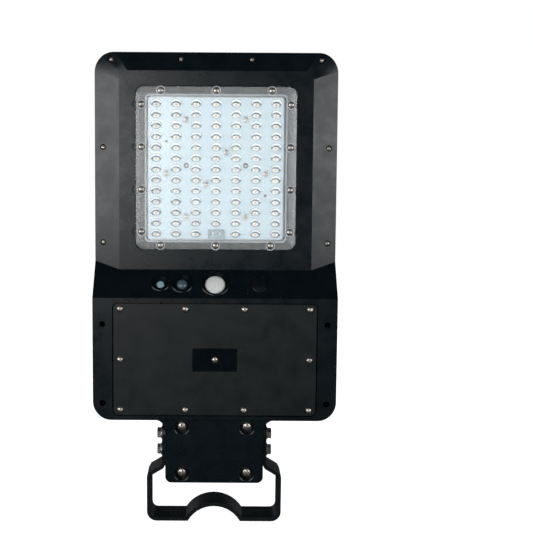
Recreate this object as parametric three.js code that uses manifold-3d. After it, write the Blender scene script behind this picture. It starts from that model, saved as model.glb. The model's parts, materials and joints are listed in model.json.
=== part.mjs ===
// Solar street lamp head on a tilting pole bracket.
// Millimetres, +Z up along the lamp, LED side towards -Y, solar panel towards +Y.
// Origin: middle of the bracket's seat plane, where the lamp is fixed to its pole.
import * as THREE from 'three';
import { ConvexGeometry } from 'three/addons/geometries/ConvexGeometry.js';
import { mergeVertices } from 'three/addons/utils/BufferGeometryUtils.js';
import Module from 'manifold-3d';

const wasm = await Module();
wasm.setup();

// ---------------------------------------------------------------- driving dimensions
const GAP = 0.3;                     // air between neighbouring pieces
const DEG = Math.PI / 180;

// Head, measured from the neck's open end (z = 0 in head coordinates).
const BODY_HALF_WIDTH = 120;
const BODY_BOTTOM = 66;
const BODY_TOP = 427.5;
const TOP_CORNER_RADIUS = 21;
const BOTTOM_CORNER_RADIUS = 19;
const BATTERY_FACE_BOTTOM_Y = -39.9;
const BATTERY_FACE_TOP_Y = -35.5;
const SLOPE_BOTTOM = 187.8;
const SLOPE_TOP = 213.4;
const LED_FACE_BOTTOM_Y = -15.2;
const LED_FACE_TOP_Y = -5;
const LED_FACE_TOP = 408.3;
const BACK_BOTTOM_Y = 37;
const BACK_TOP_Y = 19.7;

const SEAM_BEHIND_NECK_FRONT = 26.5;
const SEAM_BEHIND_BATTERY_FACE = 30;
const SEAM_BEHIND_LED_FACE = 12;

const NECK_HALF_WIDTH = 49;
const NECK_HALF_DEPTH = 35.5;
const NECK_FILLET = 12;
const SOCKET_RADIUS = 30.4;          // takes a 60 mm pole tenon
const SOCKET_DEPTH = 60;

// Bracket, below and beside the neck.
const SEAT_BELOW_NECK = 48.5;
const BAR_WIDTH = 30;
const BAR_THICKNESS = 4;
const EAR_CLEARANCE = 0.4;
const PIVOT_ABOVE_NECK_END = 41;
const SLOT_RADIUS = 17.3;
const TILT_LIMIT = 30 * DEG;

// ---------------------------------------------------------------- solids and placing
function solid(geometry) {
  const bare = geometry.clone();
  bare.deleteAttribute('normal');
  bare.deleteAttribute('uv');
  const merged = mergeVertices(bare, 1e-4);
  const position = merged.attributes.position.array;
  const corners = [];
  let volume = 0;
  const a = new THREE.Vector3();
  const b = new THREE.Vector3();
  const c = new THREE.Vector3();
  for (let i = 0; i < merged.index.count; i += 3) {
    const [p, q, r] = merged.index.array.slice(i, i + 3);
    if (p === q || q === r || r === p) continue;
    corners.push(p, q, r);
    a.fromArray(position, 3 * p);
    b.fromArray(position, 3 * q);
    c.fromArray(position, 3 * r);
    volume += a.dot(b.cross(c));
  }
  if (volume < 0) corners.reverse();
  const triVerts = Uint32Array.from(corners);
  return new wasm.Manifold(new wasm.Mesh({ numProp: 3, vertProperties: position, triVerts }));
}

const join = (...pieces) => pieces.flat().reduce((whole, piece) => whole.add(piece));
const cut = (whole, ...tools) => tools.flat().reduce((rest, tool) => rest.subtract(tool), whole);

const turnXZ = new THREE.Matrix4().makeRotationX(Math.PI / 2);
const turnYZ = new THREE.Matrix4().set(0, 0, 1, 0, 1, 0, 0, 0, 0, 1, 0, 0, 0, 0, 0, 1);
const shift = (x, y, z) => new THREE.Matrix4().makeTranslation(x, y, z);

// A frame lies on a face: local x across, local z up the face, local y through it.
const frame = (y, z, lean) => shift(0, y, z).multiply(new THREE.Matrix4().makeRotationX(-lean));

const place = (geometry, where) => solid(geometry.applyMatrix4(where));

// An outline drawn in x and z, thickened along y between two depths.
function slab(shape, near, far, where, curveSegments = 5) {
  const body = new THREE.ExtrudeGeometry(shape, { depth: far - near, bevelEnabled: false, curveSegments });
  body.applyMatrix4(turnXZ).translate(0, far, 0);
  return place(body, where);
}

// An outline drawn in y and z, thickened along x on both sides of the middle.
function prism(shape, halfWidth, curveSegments = 5) {
  const body = new THREE.ExtrudeGeometry(shape, { depth: 2 * halfWidth, bevelEnabled: false, curveSegments });
  body.applyMatrix4(turnYZ).translate(-halfWidth, 0, 0);
  return solid(body);
}

function box(width, height, near, far, x, z, where) {
  const body = new THREE.BoxGeometry(width, far - near, height);
  body.translate(x, (near + far) / 2, z);
  return place(body, where);
}

function rod(radius, near, far, x, z, where, sides = 16) {
  const body = new THREE.CylinderGeometry(radius, radius, far - near, sides);
  body.translate(x, (near + far) / 2, z);
  return place(body, where);
}

function turned(profile, x, z, where, sides = 20) {
  const points = profile.map(([radius, depth]) => new THREE.Vector2(radius, depth));
  return place(new THREE.LatheGeometry(points, sides).translate(x, 0, z), where);
}

function roundedRect(width, height, radius, x = 0, z = 0) {
  const left = x - width / 2;
  const right = x + width / 2;
  const low = z - height / 2;
  const high = z + height / 2;
  const shape = new THREE.Shape();
  shape.moveTo(left + radius, low);
  shape.lineTo(right - radius, low);
  shape.absarc(right - radius, low + radius, radius, -Math.PI / 2, 0);
  shape.lineTo(right, high - radius);
  shape.absarc(right - radius, high - radius, radius, 0, Math.PI / 2);
  shape.lineTo(left + radius, high);
  shape.absarc(left + radius, high - radius, radius, Math.PI / 2, Math.PI);
  shape.lineTo(left, low + radius);
  shape.absarc(left + radius, low + radius, radius, Math.PI, 1.5 * Math.PI);
  return shape;
}

const polygon = (points) => new THREE.Shape(points.map(([x, y]) => new THREE.Vector2(x, y)));

function ring(width, height, radius, band, x, z) {
  const shape = roundedRect(width, height, radius, x, z);
  shape.holes.push(roundedRect(width - 2 * band, height - 2 * band, radius - band, x, z));
  return shape;
}

// A stepped hole seen from its face: rounded mouth if any, bore to a floor, narrower hole beyond.
function steppedHole({ mouth = 0, bore, floor, hole, end }, x, z, where, sides = 14) {
  const proud = -2;
  const roundedEdge = [15, 40, 65, 90].map((angle) => [
    bore + mouth * (1 - Math.sin(angle * DEG)), mouth * (1 - Math.cos(angle * DEG)),
  ]);
  const top = mouth > 0 ? [[bore + mouth, proud], ...roundedEdge] : [[bore, proud]];
  const profile = [[0, proud], ...top, [bore, floor], [hole, floor], [hole, end], [0, end]];
  return turned(profile, x, z, where, sides);
}

const parts = [];
function part(name, body, material) {
  const { vertProperties, triVerts } = body.getMesh();
  const geometry = new THREE.BufferGeometry();
  geometry.setAttribute('position', new THREE.BufferAttribute(vertProperties, 3));
  geometry.setIndex(new THREE.BufferAttribute(triVerts, 1));
  geometry.computeVertexNormals();
  const mesh = new THREE.Mesh(geometry, material);
  mesh.name = name;
  parts.push(mesh);
  return mesh;
}

// ---------------------------------------------------------------- materials
const paint = (color, roughness, metalness = 0) => (
  new THREE.MeshStandardMaterial({ color, roughness, metalness })
);
const blackPlastic = paint(0x1b1c1c, 0.42);
const coverPlastic = paint(0x242828, 0.5);
const glossBlack = paint(0x0b0d10, 0.2);
const blackRubber = paint(0x101112, 0.75);
const glass = (color, roughness, opacity) => new THREE.MeshStandardMaterial({
  color, roughness, opacity, transparent: true,
});
const clearPlastic = glass(0xe8f2f6, 0.12, 0.45);
const greySilicone = paint(0x8f9698, 0.7);
const whiteBoard = paint(0xd6e8f2, 0.4);
const aluminium = paint(0xb8bbbe, 0.4, 0.9);
const screwSteel = paint(0xc6bfb4, 0.25, 1);
const paintedSteel = paint(0x17181a, 0.4, 0.3);
const panelGlass = glass(0x10131c, 0.08, 0.5);
const solarCell = paint(0x0b0e18, 0.25);
const boardGreen = paint(0x1d5a34, 0.5);
const cellWrap = paint(0x2b5ea8, 0.45);
const milkyLens = paint(0xd9dbd8, 0.35);
const blueWindow = paint(0xa6c4d4, 0.2);
const smokyDome = paint(0x566b7c, 0.15);
const insulation = paint(0xa01f1c, 0.55);

// ---------------------------------------------------------------- face frames
const batteryLean = Math.atan2(BATTERY_FACE_TOP_Y - BATTERY_FACE_BOTTOM_Y, SLOPE_BOTTOM - BODY_BOTTOM);
const ledLean = Math.atan2(LED_FACE_TOP_Y - LED_FACE_BOTTOM_Y, LED_FACE_TOP - SLOPE_TOP);
const slopeLean = Math.atan2(LED_FACE_BOTTOM_Y - BATTERY_FACE_TOP_Y, SLOPE_TOP - SLOPE_BOTTOM);
const backLean = Math.atan2(BACK_TOP_Y - BACK_BOTTOM_Y, BODY_TOP - BODY_BOTTOM);

const head = shift(0, 0, 0);
const neckFace = frame(-NECK_HALF_DEPTH, 0, 0);
const batteryFace = frame(BATTERY_FACE_BOTTOM_Y, BODY_BOTTOM, batteryLean);
const slopeFace = frame(BATTERY_FACE_TOP_Y, SLOPE_BOTTOM, slopeLean);
const ledFace = frame(LED_FACE_BOTTOM_Y, SLOPE_TOP, ledLean);
const backFace = frame(BACK_BOTTOM_Y, BODY_BOTTOM, backLean);
const slopeLength = Math.hypot(LED_FACE_BOTTOM_Y - BATTERY_FACE_TOP_Y, SLOPE_TOP - SLOPE_BOTTOM);

// ---------------------------------------------------------------- outer form of the head
const RIM_DEPTH = 5.8;               // the bevelled rim lies this far behind the LED platform
const PLATFORM_HALF_WIDTH = 95.5;
const PLATFORM_CORNER = 8;
const PLATFORM_LENGTH = (LED_FACE_TOP - SLOPE_TOP) / Math.cos(ledLean);
const RIM_LENGTH = 214.7;
const BACK_CHAMFER = 2.5;
const FORM_REACH = 90;               // construction solids run this far past the form
const LED_FORM_START = -40;          // the LED platform's form begins this far down, inside the battery box
const FRONT_EDGE = 0.8;              // small bevel along the battery face's lower edge

const outlinePoints = (shape, depth) => shape.getPoints(6).map((p) => new THREE.Vector3(p.x, depth, p.y));
const cornered = (halfWidth, low, high, radius) => (
  roundedRect(2 * halfWidth, high - low, radius, 0, (low + high) / 2)
);

function ledSection() {
  const platform = cornered(PLATFORM_HALF_WIDTH, LED_FORM_START, PLATFORM_LENGTH, PLATFORM_CORNER);
  const rim = cornered(BODY_HALF_WIDTH, LED_FORM_START, RIM_LENGTH, TOP_CORNER_RADIUS);
  const points = [
    ...outlinePoints(platform, 0), ...outlinePoints(rim, RIM_DEPTH), ...outlinePoints(rim, FORM_REACH),
  ];
  return place(new ConvexGeometry(points), ledFace);
}

function batterySection() {
  const slopeRun = FORM_REACH / Math.cos(slopeLean);
  const profile = polygon([
    [BATTERY_FACE_BOTTOM_Y + FRONT_EDGE, BODY_BOTTOM],
    [FORM_REACH, BODY_BOTTOM],
    [FORM_REACH, SLOPE_BOTTOM + slopeRun * Math.cos(slopeLean)],
    [BATTERY_FACE_TOP_Y + slopeRun * Math.sin(slopeLean), SLOPE_BOTTOM + slopeRun * Math.cos(slopeLean)],
    [BATTERY_FACE_TOP_Y, SLOPE_BOTTOM],
    [BATTERY_FACE_BOTTOM_Y + Math.tan(batteryLean) * FRONT_EDGE, BODY_BOTTOM + FRONT_EDGE],
  ]);
  const outline = cornered(BODY_HALF_WIDTH, BODY_BOTTOM, BODY_TOP, BOTTOM_CORNER_RADIUS);
  return prism(profile, BODY_HALF_WIDTH + 1).intersect(slab(outline, -FORM_REACH, FORM_REACH, head, 7));
}

function backEnvelope() {
  const length = (BODY_TOP - BODY_BOTTOM) / Math.cos(backLean);
  const full = cornered(BODY_HALF_WIDTH, 0, length, BOTTOM_CORNER_RADIUS);
  const insetCorner = BOTTOM_CORNER_RADIUS - BACK_CHAMFER;
  const inset = cornered(BODY_HALF_WIDTH - BACK_CHAMFER, BACK_CHAMFER, length - BACK_CHAMFER, insetCorner);
  const points = [
    ...outlinePoints(inset, 0),
    ...outlinePoints(full, -BACK_CHAMFER),
    ...outlinePoints(full, -2 * FORM_REACH),
  ];
  return place(new ConvexGeometry(points), backFace);
}

function neckForm() {
  const edge = 1.2;
  const corner = 5;
  const half = NECK_HALF_WIDTH - edge;
  const sunk = BODY_BOTTOM + 4;
  const shape = new THREE.Shape();
  shape.moveTo(-half + corner, edge);
  shape.lineTo(half - corner, edge);
  shape.absarc(half - corner, edge + corner, corner, -Math.PI / 2, 0);
  shape.lineTo(half, BODY_BOTTOM - NECK_FILLET);
  shape.absarc(half + NECK_FILLET, BODY_BOTTOM - NECK_FILLET, NECK_FILLET, Math.PI, Math.PI / 2, true);
  shape.lineTo(half + NECK_FILLET, sunk);
  shape.lineTo(-half - NECK_FILLET, sunk);
  shape.lineTo(-half - NECK_FILLET, BODY_BOTTOM);
  shape.absarc(-half - NECK_FILLET, BODY_BOTTOM - NECK_FILLET, NECK_FILLET, Math.PI / 2, 0, true);
  shape.lineTo(-half, edge + corner);
  shape.absarc(-half + corner, edge + corner, corner, Math.PI, 1.5 * Math.PI);
  const body = new THREE.ExtrudeGeometry(shape, {
    depth: 2 * (NECK_HALF_DEPTH - edge),
    bevelThickness: edge,
    bevelSize: edge,
    bevelSegments: 1,
    curveSegments: 5,
  });
  body.applyMatrix4(turnXZ).translate(0, NECK_HALF_DEPTH - edge, 0);
  return solid(body);
}

const seamY = {
  neck: SEAM_BEHIND_NECK_FRONT - NECK_HALF_DEPTH,
  batteryTop: BATTERY_FACE_TOP_Y + SEAM_BEHIND_BATTERY_FACE,
  ledTop: LED_FACE_TOP_Y + SEAM_BEHIND_LED_FACE,
};

// Everything on one side of the seam between the two shells; side is -1 in front, +1 behind.
function seamSide(side) {
  const air = side * GAP / 2;
  const far = side * 2 * FORM_REACH;
  const ledSeamRise = Math.tan(ledLean);
  return prism(polygon([
    [seamY.neck + air, -FORM_REACH],
    [seamY.neck + air, BODY_BOTTOM],
    [seamY.batteryTop + air, SLOPE_BOTTOM],
    [seamY.ledTop + air, LED_FACE_TOP],
    [seamY.ledTop + air + FORM_REACH * ledSeamRise, LED_FACE_TOP + FORM_REACH],
    [far, LED_FACE_TOP + FORM_REACH],
    [far, -FORM_REACH],
  ]), 2 * FORM_REACH);
}

const headForm = ledSection().add(batterySection()).intersect(backEnvelope()).add(neckForm());

// ---------------------------------------------------------------- fastener places
const NECK_BOLT_X = 32.5;
const NECK_BOLT_LOW = 9.7;
const NECK_BOLT_HIGH = 57.5;
const neckBoltPlaces = [-1, 1].flatMap((side) => (
  [NECK_BOLT_LOW, NECK_BOLT_HIGH].map((z) => [side * NECK_BOLT_X, z])
));
const NECK_BORE = { mouth: 1.8, bore: 6.5, floor: 6, hole: 2.8, end: 46 };

// Heights are given up the lamp and turned into distances up a leaning face.
const onLed = (z) => (z - SLOPE_TOP) / Math.cos(ledLean);
const onBattery = (z) => (z - BODY_BOTTOM) / Math.cos(batteryLean);
const LED_CENTRE = onLed(313.3);
const BATTERY_MIDDLE = 126.9;
const COVER_CENTRE = onBattery(BATTERY_MIDDLE);
const COVER_SCREW_X = 93;
const COVER_SCREW_INNER_X = 28.9;
const COVER_SCREW_Z = 50.2;

const coverScrewPlaces = [
  ...[-1, 1].flatMap((end) => [-COVER_SCREW_X, -COVER_SCREW_INNER_X, COVER_SCREW_INNER_X, COVER_SCREW_X]
    .map((x) => [x, COVER_CENTRE + end * COVER_SCREW_Z])),
  [-COVER_SCREW_X, COVER_CENTRE],
  [COVER_SCREW_X, COVER_CENTRE],
];

// Screws that clamp the shells: face frame, x, height on that face, head depth below the face.
const shellScrewPlaces = [-1, 1].flatMap((side) => [
  { where: ledFace, x: side * 103.8, z: onLed(419.8), floor: 8.4 },
  { where: ledFace, x: side * 35, z: onLed(420.3), floor: 8.4 },
  { where: ledFace, x: side * 111.7, z: onLed(333.9), floor: 7.6 },
  { where: ledFace, x: side * 111.7, z: onLed(239.9), floor: 7.6 },
  { where: batteryFace, x: side * 110.4, z: onBattery(162), floor: 20 },
  { where: batteryFace, x: side * 110.4, z: onBattery(83.2), floor: 20 },
]);
const SHELL_SCREW_HEAD = 2.8;
const SHELL_SCREW_SHANK = 1.5;
const SHELL_SCREW_LENGTH = 12;

// ---------------------------------------------------------------- sensors on the slope
const sensorRow = slopeLength / 2;
const WALL = 3.2;
const lightSensor = { x: -54, bore: 7.6, floor: 1.4, hole: 4.2 };
const receiver = { x: -32.6, bore: 9.2, floor: 1.6, hole: 5.6 };
const pir = { x: 0, bore: 12.4, floor: 1.6, hole: 10.2 };
const button = { x: 43.4, bore: 9, floor: 0.9, hole: 8.3 };
const collared = [lightSensor, receiver, pir];
const COLLAR_WIDTH = 1.8;
const COLLAR_HEIGHT = 1.5;
const BUTTON_TRAVEL = 1.2;

// ---------------------------------------------------------------- shells
const FLANGE_WIDTH = 158.4;
const FLANGE_HEIGHT = 160.8;
const FLANGE_CORNER = 8;
const FLANGE_THICKNESS = 2.2;
const LENS_SIDE_SCREW_X = 73.5;
const LENS_SCREW_ROWS = [-62.5, -20.8, 20.8, 62.5];
const WINDOW_WIDTH = 136.4;
const WINDOW_HEIGHT = 141.6;
const FLANGE_CLEARANCE = 0.6;
const FLANGE_SEAT = 2.6;             // depth of the recess that the flange lies in
const LED_LEDGE = 6.4;               // the ledge that carries the lens ends this far in
const SEAL_STEP = 2.4;               // how far the lens seal's step stands back from the window
const SEAL_FLOOR = 4.2;
const COVER_WIDTH = 199;
const COVER_HEIGHT = 110.5;
const COVER_CORNER = 5;
const COVER_THICKNESS = 3;
const COVER_SCREW_HOLE = 1.75;
const COVER_GROOVE = 1.2;
const COVER_LEDGE = 4.3;

function socketAndBoltHoles() {
  const socket = new THREE.CylinderGeometry(SOCKET_RADIUS, SOCKET_RADIUS, SOCKET_DEPTH + 2, 36);
  socket.rotateX(Math.PI / 2).translate(0, 0, SOCKET_DEPTH / 2 - 1);
  const clampHoles = neckBoltPlaces.map(([x, z]) => steppedHole(NECK_BORE, x, z, neckFace, 16));
  return [solid(socket), ...clampHoles];
}

const shellScrewHoles = () => shellScrewPlaces.map(({ where, x, z, floor }) => {
  const bore = SHELL_SCREW_HEAD + 0.4;
  const hole = SHELL_SCREW_SHANK + 0.25;
  const end = floor + SHELL_SCREW_LENGTH + 1.5;
  return steppedHole({ bore, floor, hole, end }, x, z, where, 8);
});

// A rounded opening sunk into the LED face, centred on the LEDs, between two depths.
const ledPocket = (width, height, corner, near, far, curveSegments = 3) => (
  slab(roundedRect(width, height, corner, 0, LED_CENTRE), near, far, ledFace, curveSegments)
);

function ledOpenings() {
  const around = 2 * FLANGE_CLEARANCE;
  const corner = FLANGE_CORNER + 0.4;
  const recess = ledPocket(FLANGE_WIDTH + around, FLANGE_HEIGHT + around, corner, -9, FLANGE_SEAT, 5);
  const sealStep = ledPocket(WINDOW_WIDTH + 2 * SEAL_STEP, WINDOW_HEIGHT + 2 * SEAL_STEP, 5, 1, SEAL_FLOOR);
  const window = ledPocket(WINDOW_WIDTH, WINDOW_HEIGHT, 4, 1, LED_LEDGE + 1);
  const cavity = box(184, 182, LED_LEDGE, 40, 0, LED_CENTRE - 1, ledFace);
  const relief = 4.6;
  const reliefs = [-1, 1].flatMap((side) => LENS_SCREW_ROWS.map((z) => (
    rod(relief, -9, FLANGE_SEAT, side * (LENS_SIDE_SCREW_X + relief), LED_CENTRE + z, ledFace, 8)
  )));
  return [recess, sealStep, window, cavity, ...reliefs];
}

function batteryOpenings() {
  const around = 2 * COVER_GROOVE;
  const outline = roundedRect(COVER_WIDTH + around, COVER_HEIGHT + around, COVER_CORNER + 1, 0, COVER_CENTRE);
  const recess = slab(outline, -9, COVER_LEDGE, batteryFace);
  const opening = slab(roundedRect(172, 87, 4, 0, COVER_CENTRE), 1, 9, batteryFace, 2);
  const cavity = box(194, 111, COVER_LEDGE + WALL, 60, 0, COVER_CENTRE, batteryFace);
  const pilots = coverScrewPlaces.map(([x, z]) => rod(COVER_SCREW_HOLE, 1, 14, x, z, batteryFace, 6));
  return [recess, opening, cavity, ...pilots];
}

// A rounded collar that stands out of the slope round a sensor's bore.
function sensorCollar({ x, bore }) {
  const foot = bore + COLLAR_WIDTH;
  const crest = [90, 60, 30, 0].map((angle) => [
    foot - COLLAR_HEIGHT * (1 - Math.cos(angle * DEG)), -COLLAR_HEIGHT * Math.sin(angle * DEG),
  ]);
  return turned([[0, -COLLAR_HEIGHT], ...crest, [foot, 0.5], [0, 0.5]], x, sensorRow, slopeFace, 24);
}

function sensorOpenings() {
  const cavity = box(164, slopeLength - 8, WALL, 34, 0, sensorRow, slopeFace);
  const seats = [...collared, button].map((seat) => (
    steppedHole({ ...seat, end: WALL + 2 }, seat.x, sensorRow, slopeFace, 24)
  ));
  return [cavity, ...seats];
}

function frontShell() {
  const form = join(headForm.intersect(seamSide(-1)), collared.map(sensorCollar));
  const openings = [ledOpenings(), batteryOpenings(), sensorOpenings()];
  return cut(form, socketAndBoltHoles(), shellScrewHoles(), ...openings);
}

const PANEL_WIDTH = 212;
const PANEL_HEIGHT = 338;
const PANEL_CENTRE = (BODY_TOP - BODY_BOTTOM) / Math.cos(backLean) / 2;
const PANEL_CORNER = 4.5;
const PANEL_LEDGE = 5;
const LEDGE_BACK = 7.5;
const SIDE_BOLT_PLACES = [PIVOT_ABOVE_NECK_END, PIVOT_ABOVE_NECK_END - SLOT_RADIUS];
const SIDE_BOLT_END = 35.5;

const alongX = new THREE.Matrix4().makeRotationZ(-Math.PI / 2);

// A round hole or shank in the side of the neck, between two distances from the middle.
function sideRod(radius, from, to, z, side, sides = 10) {
  const body = new THREE.CylinderGeometry(radius, radius, to - from, sides);
  body.applyMatrix4(alongX).translate(side * (from + to) / 2, 0, z);
  return solid(body);
}

function rearShell() {
  const form = headForm.intersect(seamSide(1));
  const pocketOutline = roundedRect(PANEL_WIDTH + 1, PANEL_HEIGHT + 1, PANEL_CORNER + 0.5, 0, PANEL_CENTRE);
  const pocket = slab(pocketOutline, -PANEL_LEDGE, 9, backFace, 3);
  const opening = slab(roundedRect(188, 306, 6, 0, PANEL_CENTRE), -LEDGE_BACK - 4, 1, backFace, 2);
  const cavity = box(206, 341, -60, -LEDGE_BACK, 0, PANEL_CENTRE - 0.5, backFace);
  const sideHoles = [-1, 1].flatMap((side) => SIDE_BOLT_PLACES.map((z) => (
    sideRod(3.2, SIDE_BOLT_END, NECK_HALF_WIDTH + 2, z, side)
  )));
  const notches = [-1, 1].flatMap((side) => [-1, 1].map((end) => (
    box(14, 5, -1.2, 2, side * 56, PANEL_CENTRE + end * (PANEL_HEIGHT / 2 + 2), backFace)
  )));
  return cut(form, socketAndBoltHoles(), shellScrewHoles(), pocket, opening, cavity, sideHoles, notches);
}

part('front_shell', frontShell(), blackPlastic);
part('rear_shell', rearShell(), blackPlastic);

// ---------------------------------------------------------------- solar panel
function solarPanel() {
  const sealBand = 1.8;
  const glassWidth = PANEL_WIDTH - 2 * (sealBand + GAP);
  const glassHeight = PANEL_HEIGHT - 2 * (sealBand + GAP);
  const pane = roundedRect(glassWidth, glassHeight, PANEL_CORNER - 2, 0, PANEL_CENTRE);
  const sealOutline = ring(PANEL_WIDTH, PANEL_HEIGHT, PANEL_CORNER, sealBand, 0, PANEL_CENTRE);
  const junctionZ = PANEL_CENTRE + 30;
  const caseBody = box(64, 44, -14, -4.8, 0, junctionZ, backFace);
  const outlets = [-1, 1].map((side) => rod(3, -17, -13.5, side * 18, junctionZ - 10, backFace, 10));
  part('solar_panel_glass', slab(pane, -3.4, -0.8, backFace, 3), panelGlass);
  part('solar_cell_sheet', slab(pane, -4.5, -3.7, backFace, 3), solarCell);
  part('panel_seal', slab(sealOutline, -4.2, -1.2, backFace, 3), greySilicone);
  part('panel_junction_box', join(caseBody, outlets), blackPlastic);
}
solarPanel();

// ---------------------------------------------------------------- LED engine
const LED_COLUMNS = 7;
const LED_ROWS = 13;
const LED_PITCH_X = 19.7;
const LED_PITCH_Z = 10.65;

// Every LED place on the board; the middle one of the lowest row gives way to the connector.
function ledPlaces() {
  const places = [];
  for (let row = 0; row < LED_ROWS; row += 1) {
    for (let column = 0; column < LED_COLUMNS; column += 1) {
      const x = (column - (LED_COLUMNS - 1) / 2) * LED_PITCH_X;
      const z = ((LED_ROWS - 1) / 2 - row) * LED_PITCH_Z;
      if (row < LED_ROWS - 1 || x !== 0) places.push([x, z]);
    }
  }
  return places;
}

function lensDome(x, z) {
  const dome = new THREE.CylinderGeometry(5.2, 2.8, 2.8, 6);
  dome.scale(1, 1, 0.77).translate(x, -1, LED_CENTRE + z);
  return place(dome, ledFace);
}

function ledEngine() {
  const flange = ledPocket(FLANGE_WIDTH, FLANGE_HEIGHT, FLANGE_CORNER, 0.2, 0.2 + FLANGE_THICKNESS, 5);
  const domes = ledPlaces().map(([x, z]) => lensDome(x, z));
  const sealWidth = WINDOW_WIDTH + 2 * (SEAL_STEP - GAP);
  const sealHeight = WINDOW_HEIGHT + 2 * (SEAL_STEP - GAP);
  const sealOutline = ring(sealWidth, sealHeight, 4.7, 1.8, 0, LED_CENTRE);
  const board = ledPocket(WINDOW_WIDTH - 2.4, WINDOW_HEIGHT - 2.1, 3, 4.9, 6.4);
  const connector = box(16.5, 9.2, 2.7, 4.6, 0.8, LED_CENTRE - 64.6, ledFace);
  const plate = box(152, 158, 6.7, 9.2, 0, LED_CENTRE, ledFace);
  const ribs = [-60, -40, -20, 0, 20, 40, 60].map((x) => box(2, 150, 9, 12.6, x, LED_CENTRE, ledFace));
  part('lens_cover', join(flange, domes), clearPlastic);
  part('lens_seal', slab(sealOutline, FLANGE_SEAT + 0.1, SEAL_FLOOR - GAP, ledFace), greySilicone);
  part('led_board', board, whiteBoard);
  part('led_connector', connector, clearPlastic);
  part('heat_sink', join(plate, ribs), aluminium);
}
ledEngine();

// ---------------------------------------------------------------- battery compartment
const CELL_RADIUS = 16.1;
const CELL_LENGTH = 70;
const CELL_PITCH = 33.6;
const CELL_X = -42;
const CELL_Y = 2;
const CELL_ROWS = [-1, 0, 1].map((row) => BATTERY_MIDDLE + row * CELL_PITCH);
const LABEL_WIDTH = 44;
const LABEL_HEIGHT = 23.2;
const LABEL_SEAT = 0.7;
const LABEL_SCREW_RADIUS = 3.7;
const CONTROLLER_BACK = 12;

function cellBody(radius, length, z) {
  const body = new THREE.CylinderGeometry(radius, radius, length, 16);
  body.applyMatrix4(alongX).translate(CELL_X, CELL_Y, z);
  return solid(body);
}

function batteryCover() {
  const outline = roundedRect(COVER_WIDTH, COVER_HEIGHT, COVER_CORNER, 0, COVER_CENTRE);
  const labelSeat = box(LABEL_WIDTH, LABEL_HEIGHT, -1, LABEL_SEAT, 0, COVER_CENTRE, batteryFace);
  const through = COVER_THICKNESS + 1;
  const centreScrew = { bore: LABEL_SCREW_RADIUS, floor: 1.7, hole: COVER_SCREW_HOLE, end: through };
  const centreHole = steppedHole(centreScrew, 0, COVER_CENTRE, batteryFace, 12);
  const screwHoles = coverScrewPlaces.map(([x, z]) => (
    rod(COVER_SCREW_HOLE, -1, through, x, z, batteryFace, 6)
  ));
  return cut(slab(outline, 0, COVER_THICKNESS, batteryFace), labelSeat, centreHole, screwHoles);
}

const TRAY_NEAR = 20.5;

function batteryCradle() {
  const tray = box(178, 100, TRAY_NEAR, TRAY_NEAR + 3, 4, BATTERY_MIDDLE, head);
  const bed = box(CELL_LENGTH + 10, 98, 10, TRAY_NEAR + 0.5, CELL_X, BATTERY_MIDDLE, head);
  const troughs = CELL_ROWS.map((z) => cellBody(CELL_RADIUS + GAP, CELL_LENGTH + 1, z));
  const centrePost = rod(4.5, -30, TRAY_NEAR + 0.5, 0, BATTERY_MIDDLE, head);
  const postHole = rod(1.7, 6, 18, 0, COVER_CENTRE, batteryFace, 10);
  const standoffs = [20, 84].flatMap((x) => (
    [92, 162].map((z) => rod(3, CONTROLLER_BACK + 0.4, TRAY_NEAR + 0.5, x, z, head, 10))
  ));
  return cut(join(tray, bed), troughs).add(centrePost).subtract(postHole).add(join(standoffs));
}

function controllerBoard() {
  const face = CONTROLLER_BACK - 1.6;
  const foot = face + 0.4;
  const board = box(72, 78, face, CONTROLLER_BACK, 52, BATTERY_MIDDLE, head);
  const inductor = rod(9, 1, foot, 36, 146, head);
  const capacitors = [58, 72].map((x) => rod(5, -4, foot, x, 150, head, 12));
  const terminals = box(46, 11, 0, foot, 52, 96, head);
  const chips = [[34, 118], [52, 122], [70, 120]].map(([x, z]) => box(10, 10, face - 1.8, foot, x, z, head));
  return join(board, inductor, capacitors, terminals, chips);
}

function batteryParts() {
  const sealOutline = ring(181, 96, 5, 3, 0, COVER_CENTRE);
  const seal = slab(sealOutline, COVER_THICKNESS + 0.1, COVER_LEDGE - 0.1, batteryFace, 3);
  const label = cut(
    box(LABEL_WIDTH - 0.4, LABEL_HEIGHT - 0.4, 0.15, LABEL_SEAT - 0.1, 0, COVER_CENTRE, batteryFace),
    rod(LABEL_SCREW_RADIUS, -1, 2, 0, COVER_CENTRE, batteryFace),
  );
  part('battery_cover', batteryCover(), coverPlastic);
  part('battery_cover_seal', seal, blackRubber);
  part('cover_label_plate', label, glossBlack);
  CELL_ROWS.forEach((z, index) => {
    part(`battery_cell_${index + 1}`, cellBody(CELL_RADIUS, CELL_LENGTH, z), cellWrap);
  });
  part('battery_cradle', batteryCradle(), coverPlastic);
  part('controller_board', controllerBoard(), boardGreen);
}
batteryParts();

// ---------------------------------------------------------------- sensors and button
const SENSOR_BOARD_NEAR = 10.5;

// A round insert held from behind: flange against the wall, stem through the hole, domed tip.
function sensorPlug(radius, flangeRadius, tip, crown) {
  const flangeNear = WALL + GAP;
  return [
    [0, tip], [radius * 0.55, tip + crown * 0.22], [radius * 0.86, tip + crown * 0.6], [radius, tip + crown],
    [radius, flangeNear], [flangeRadius, flangeNear], [flangeRadius, flangeNear + 1.2], [0, flangeNear + 1.2],
  ];
}

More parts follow.
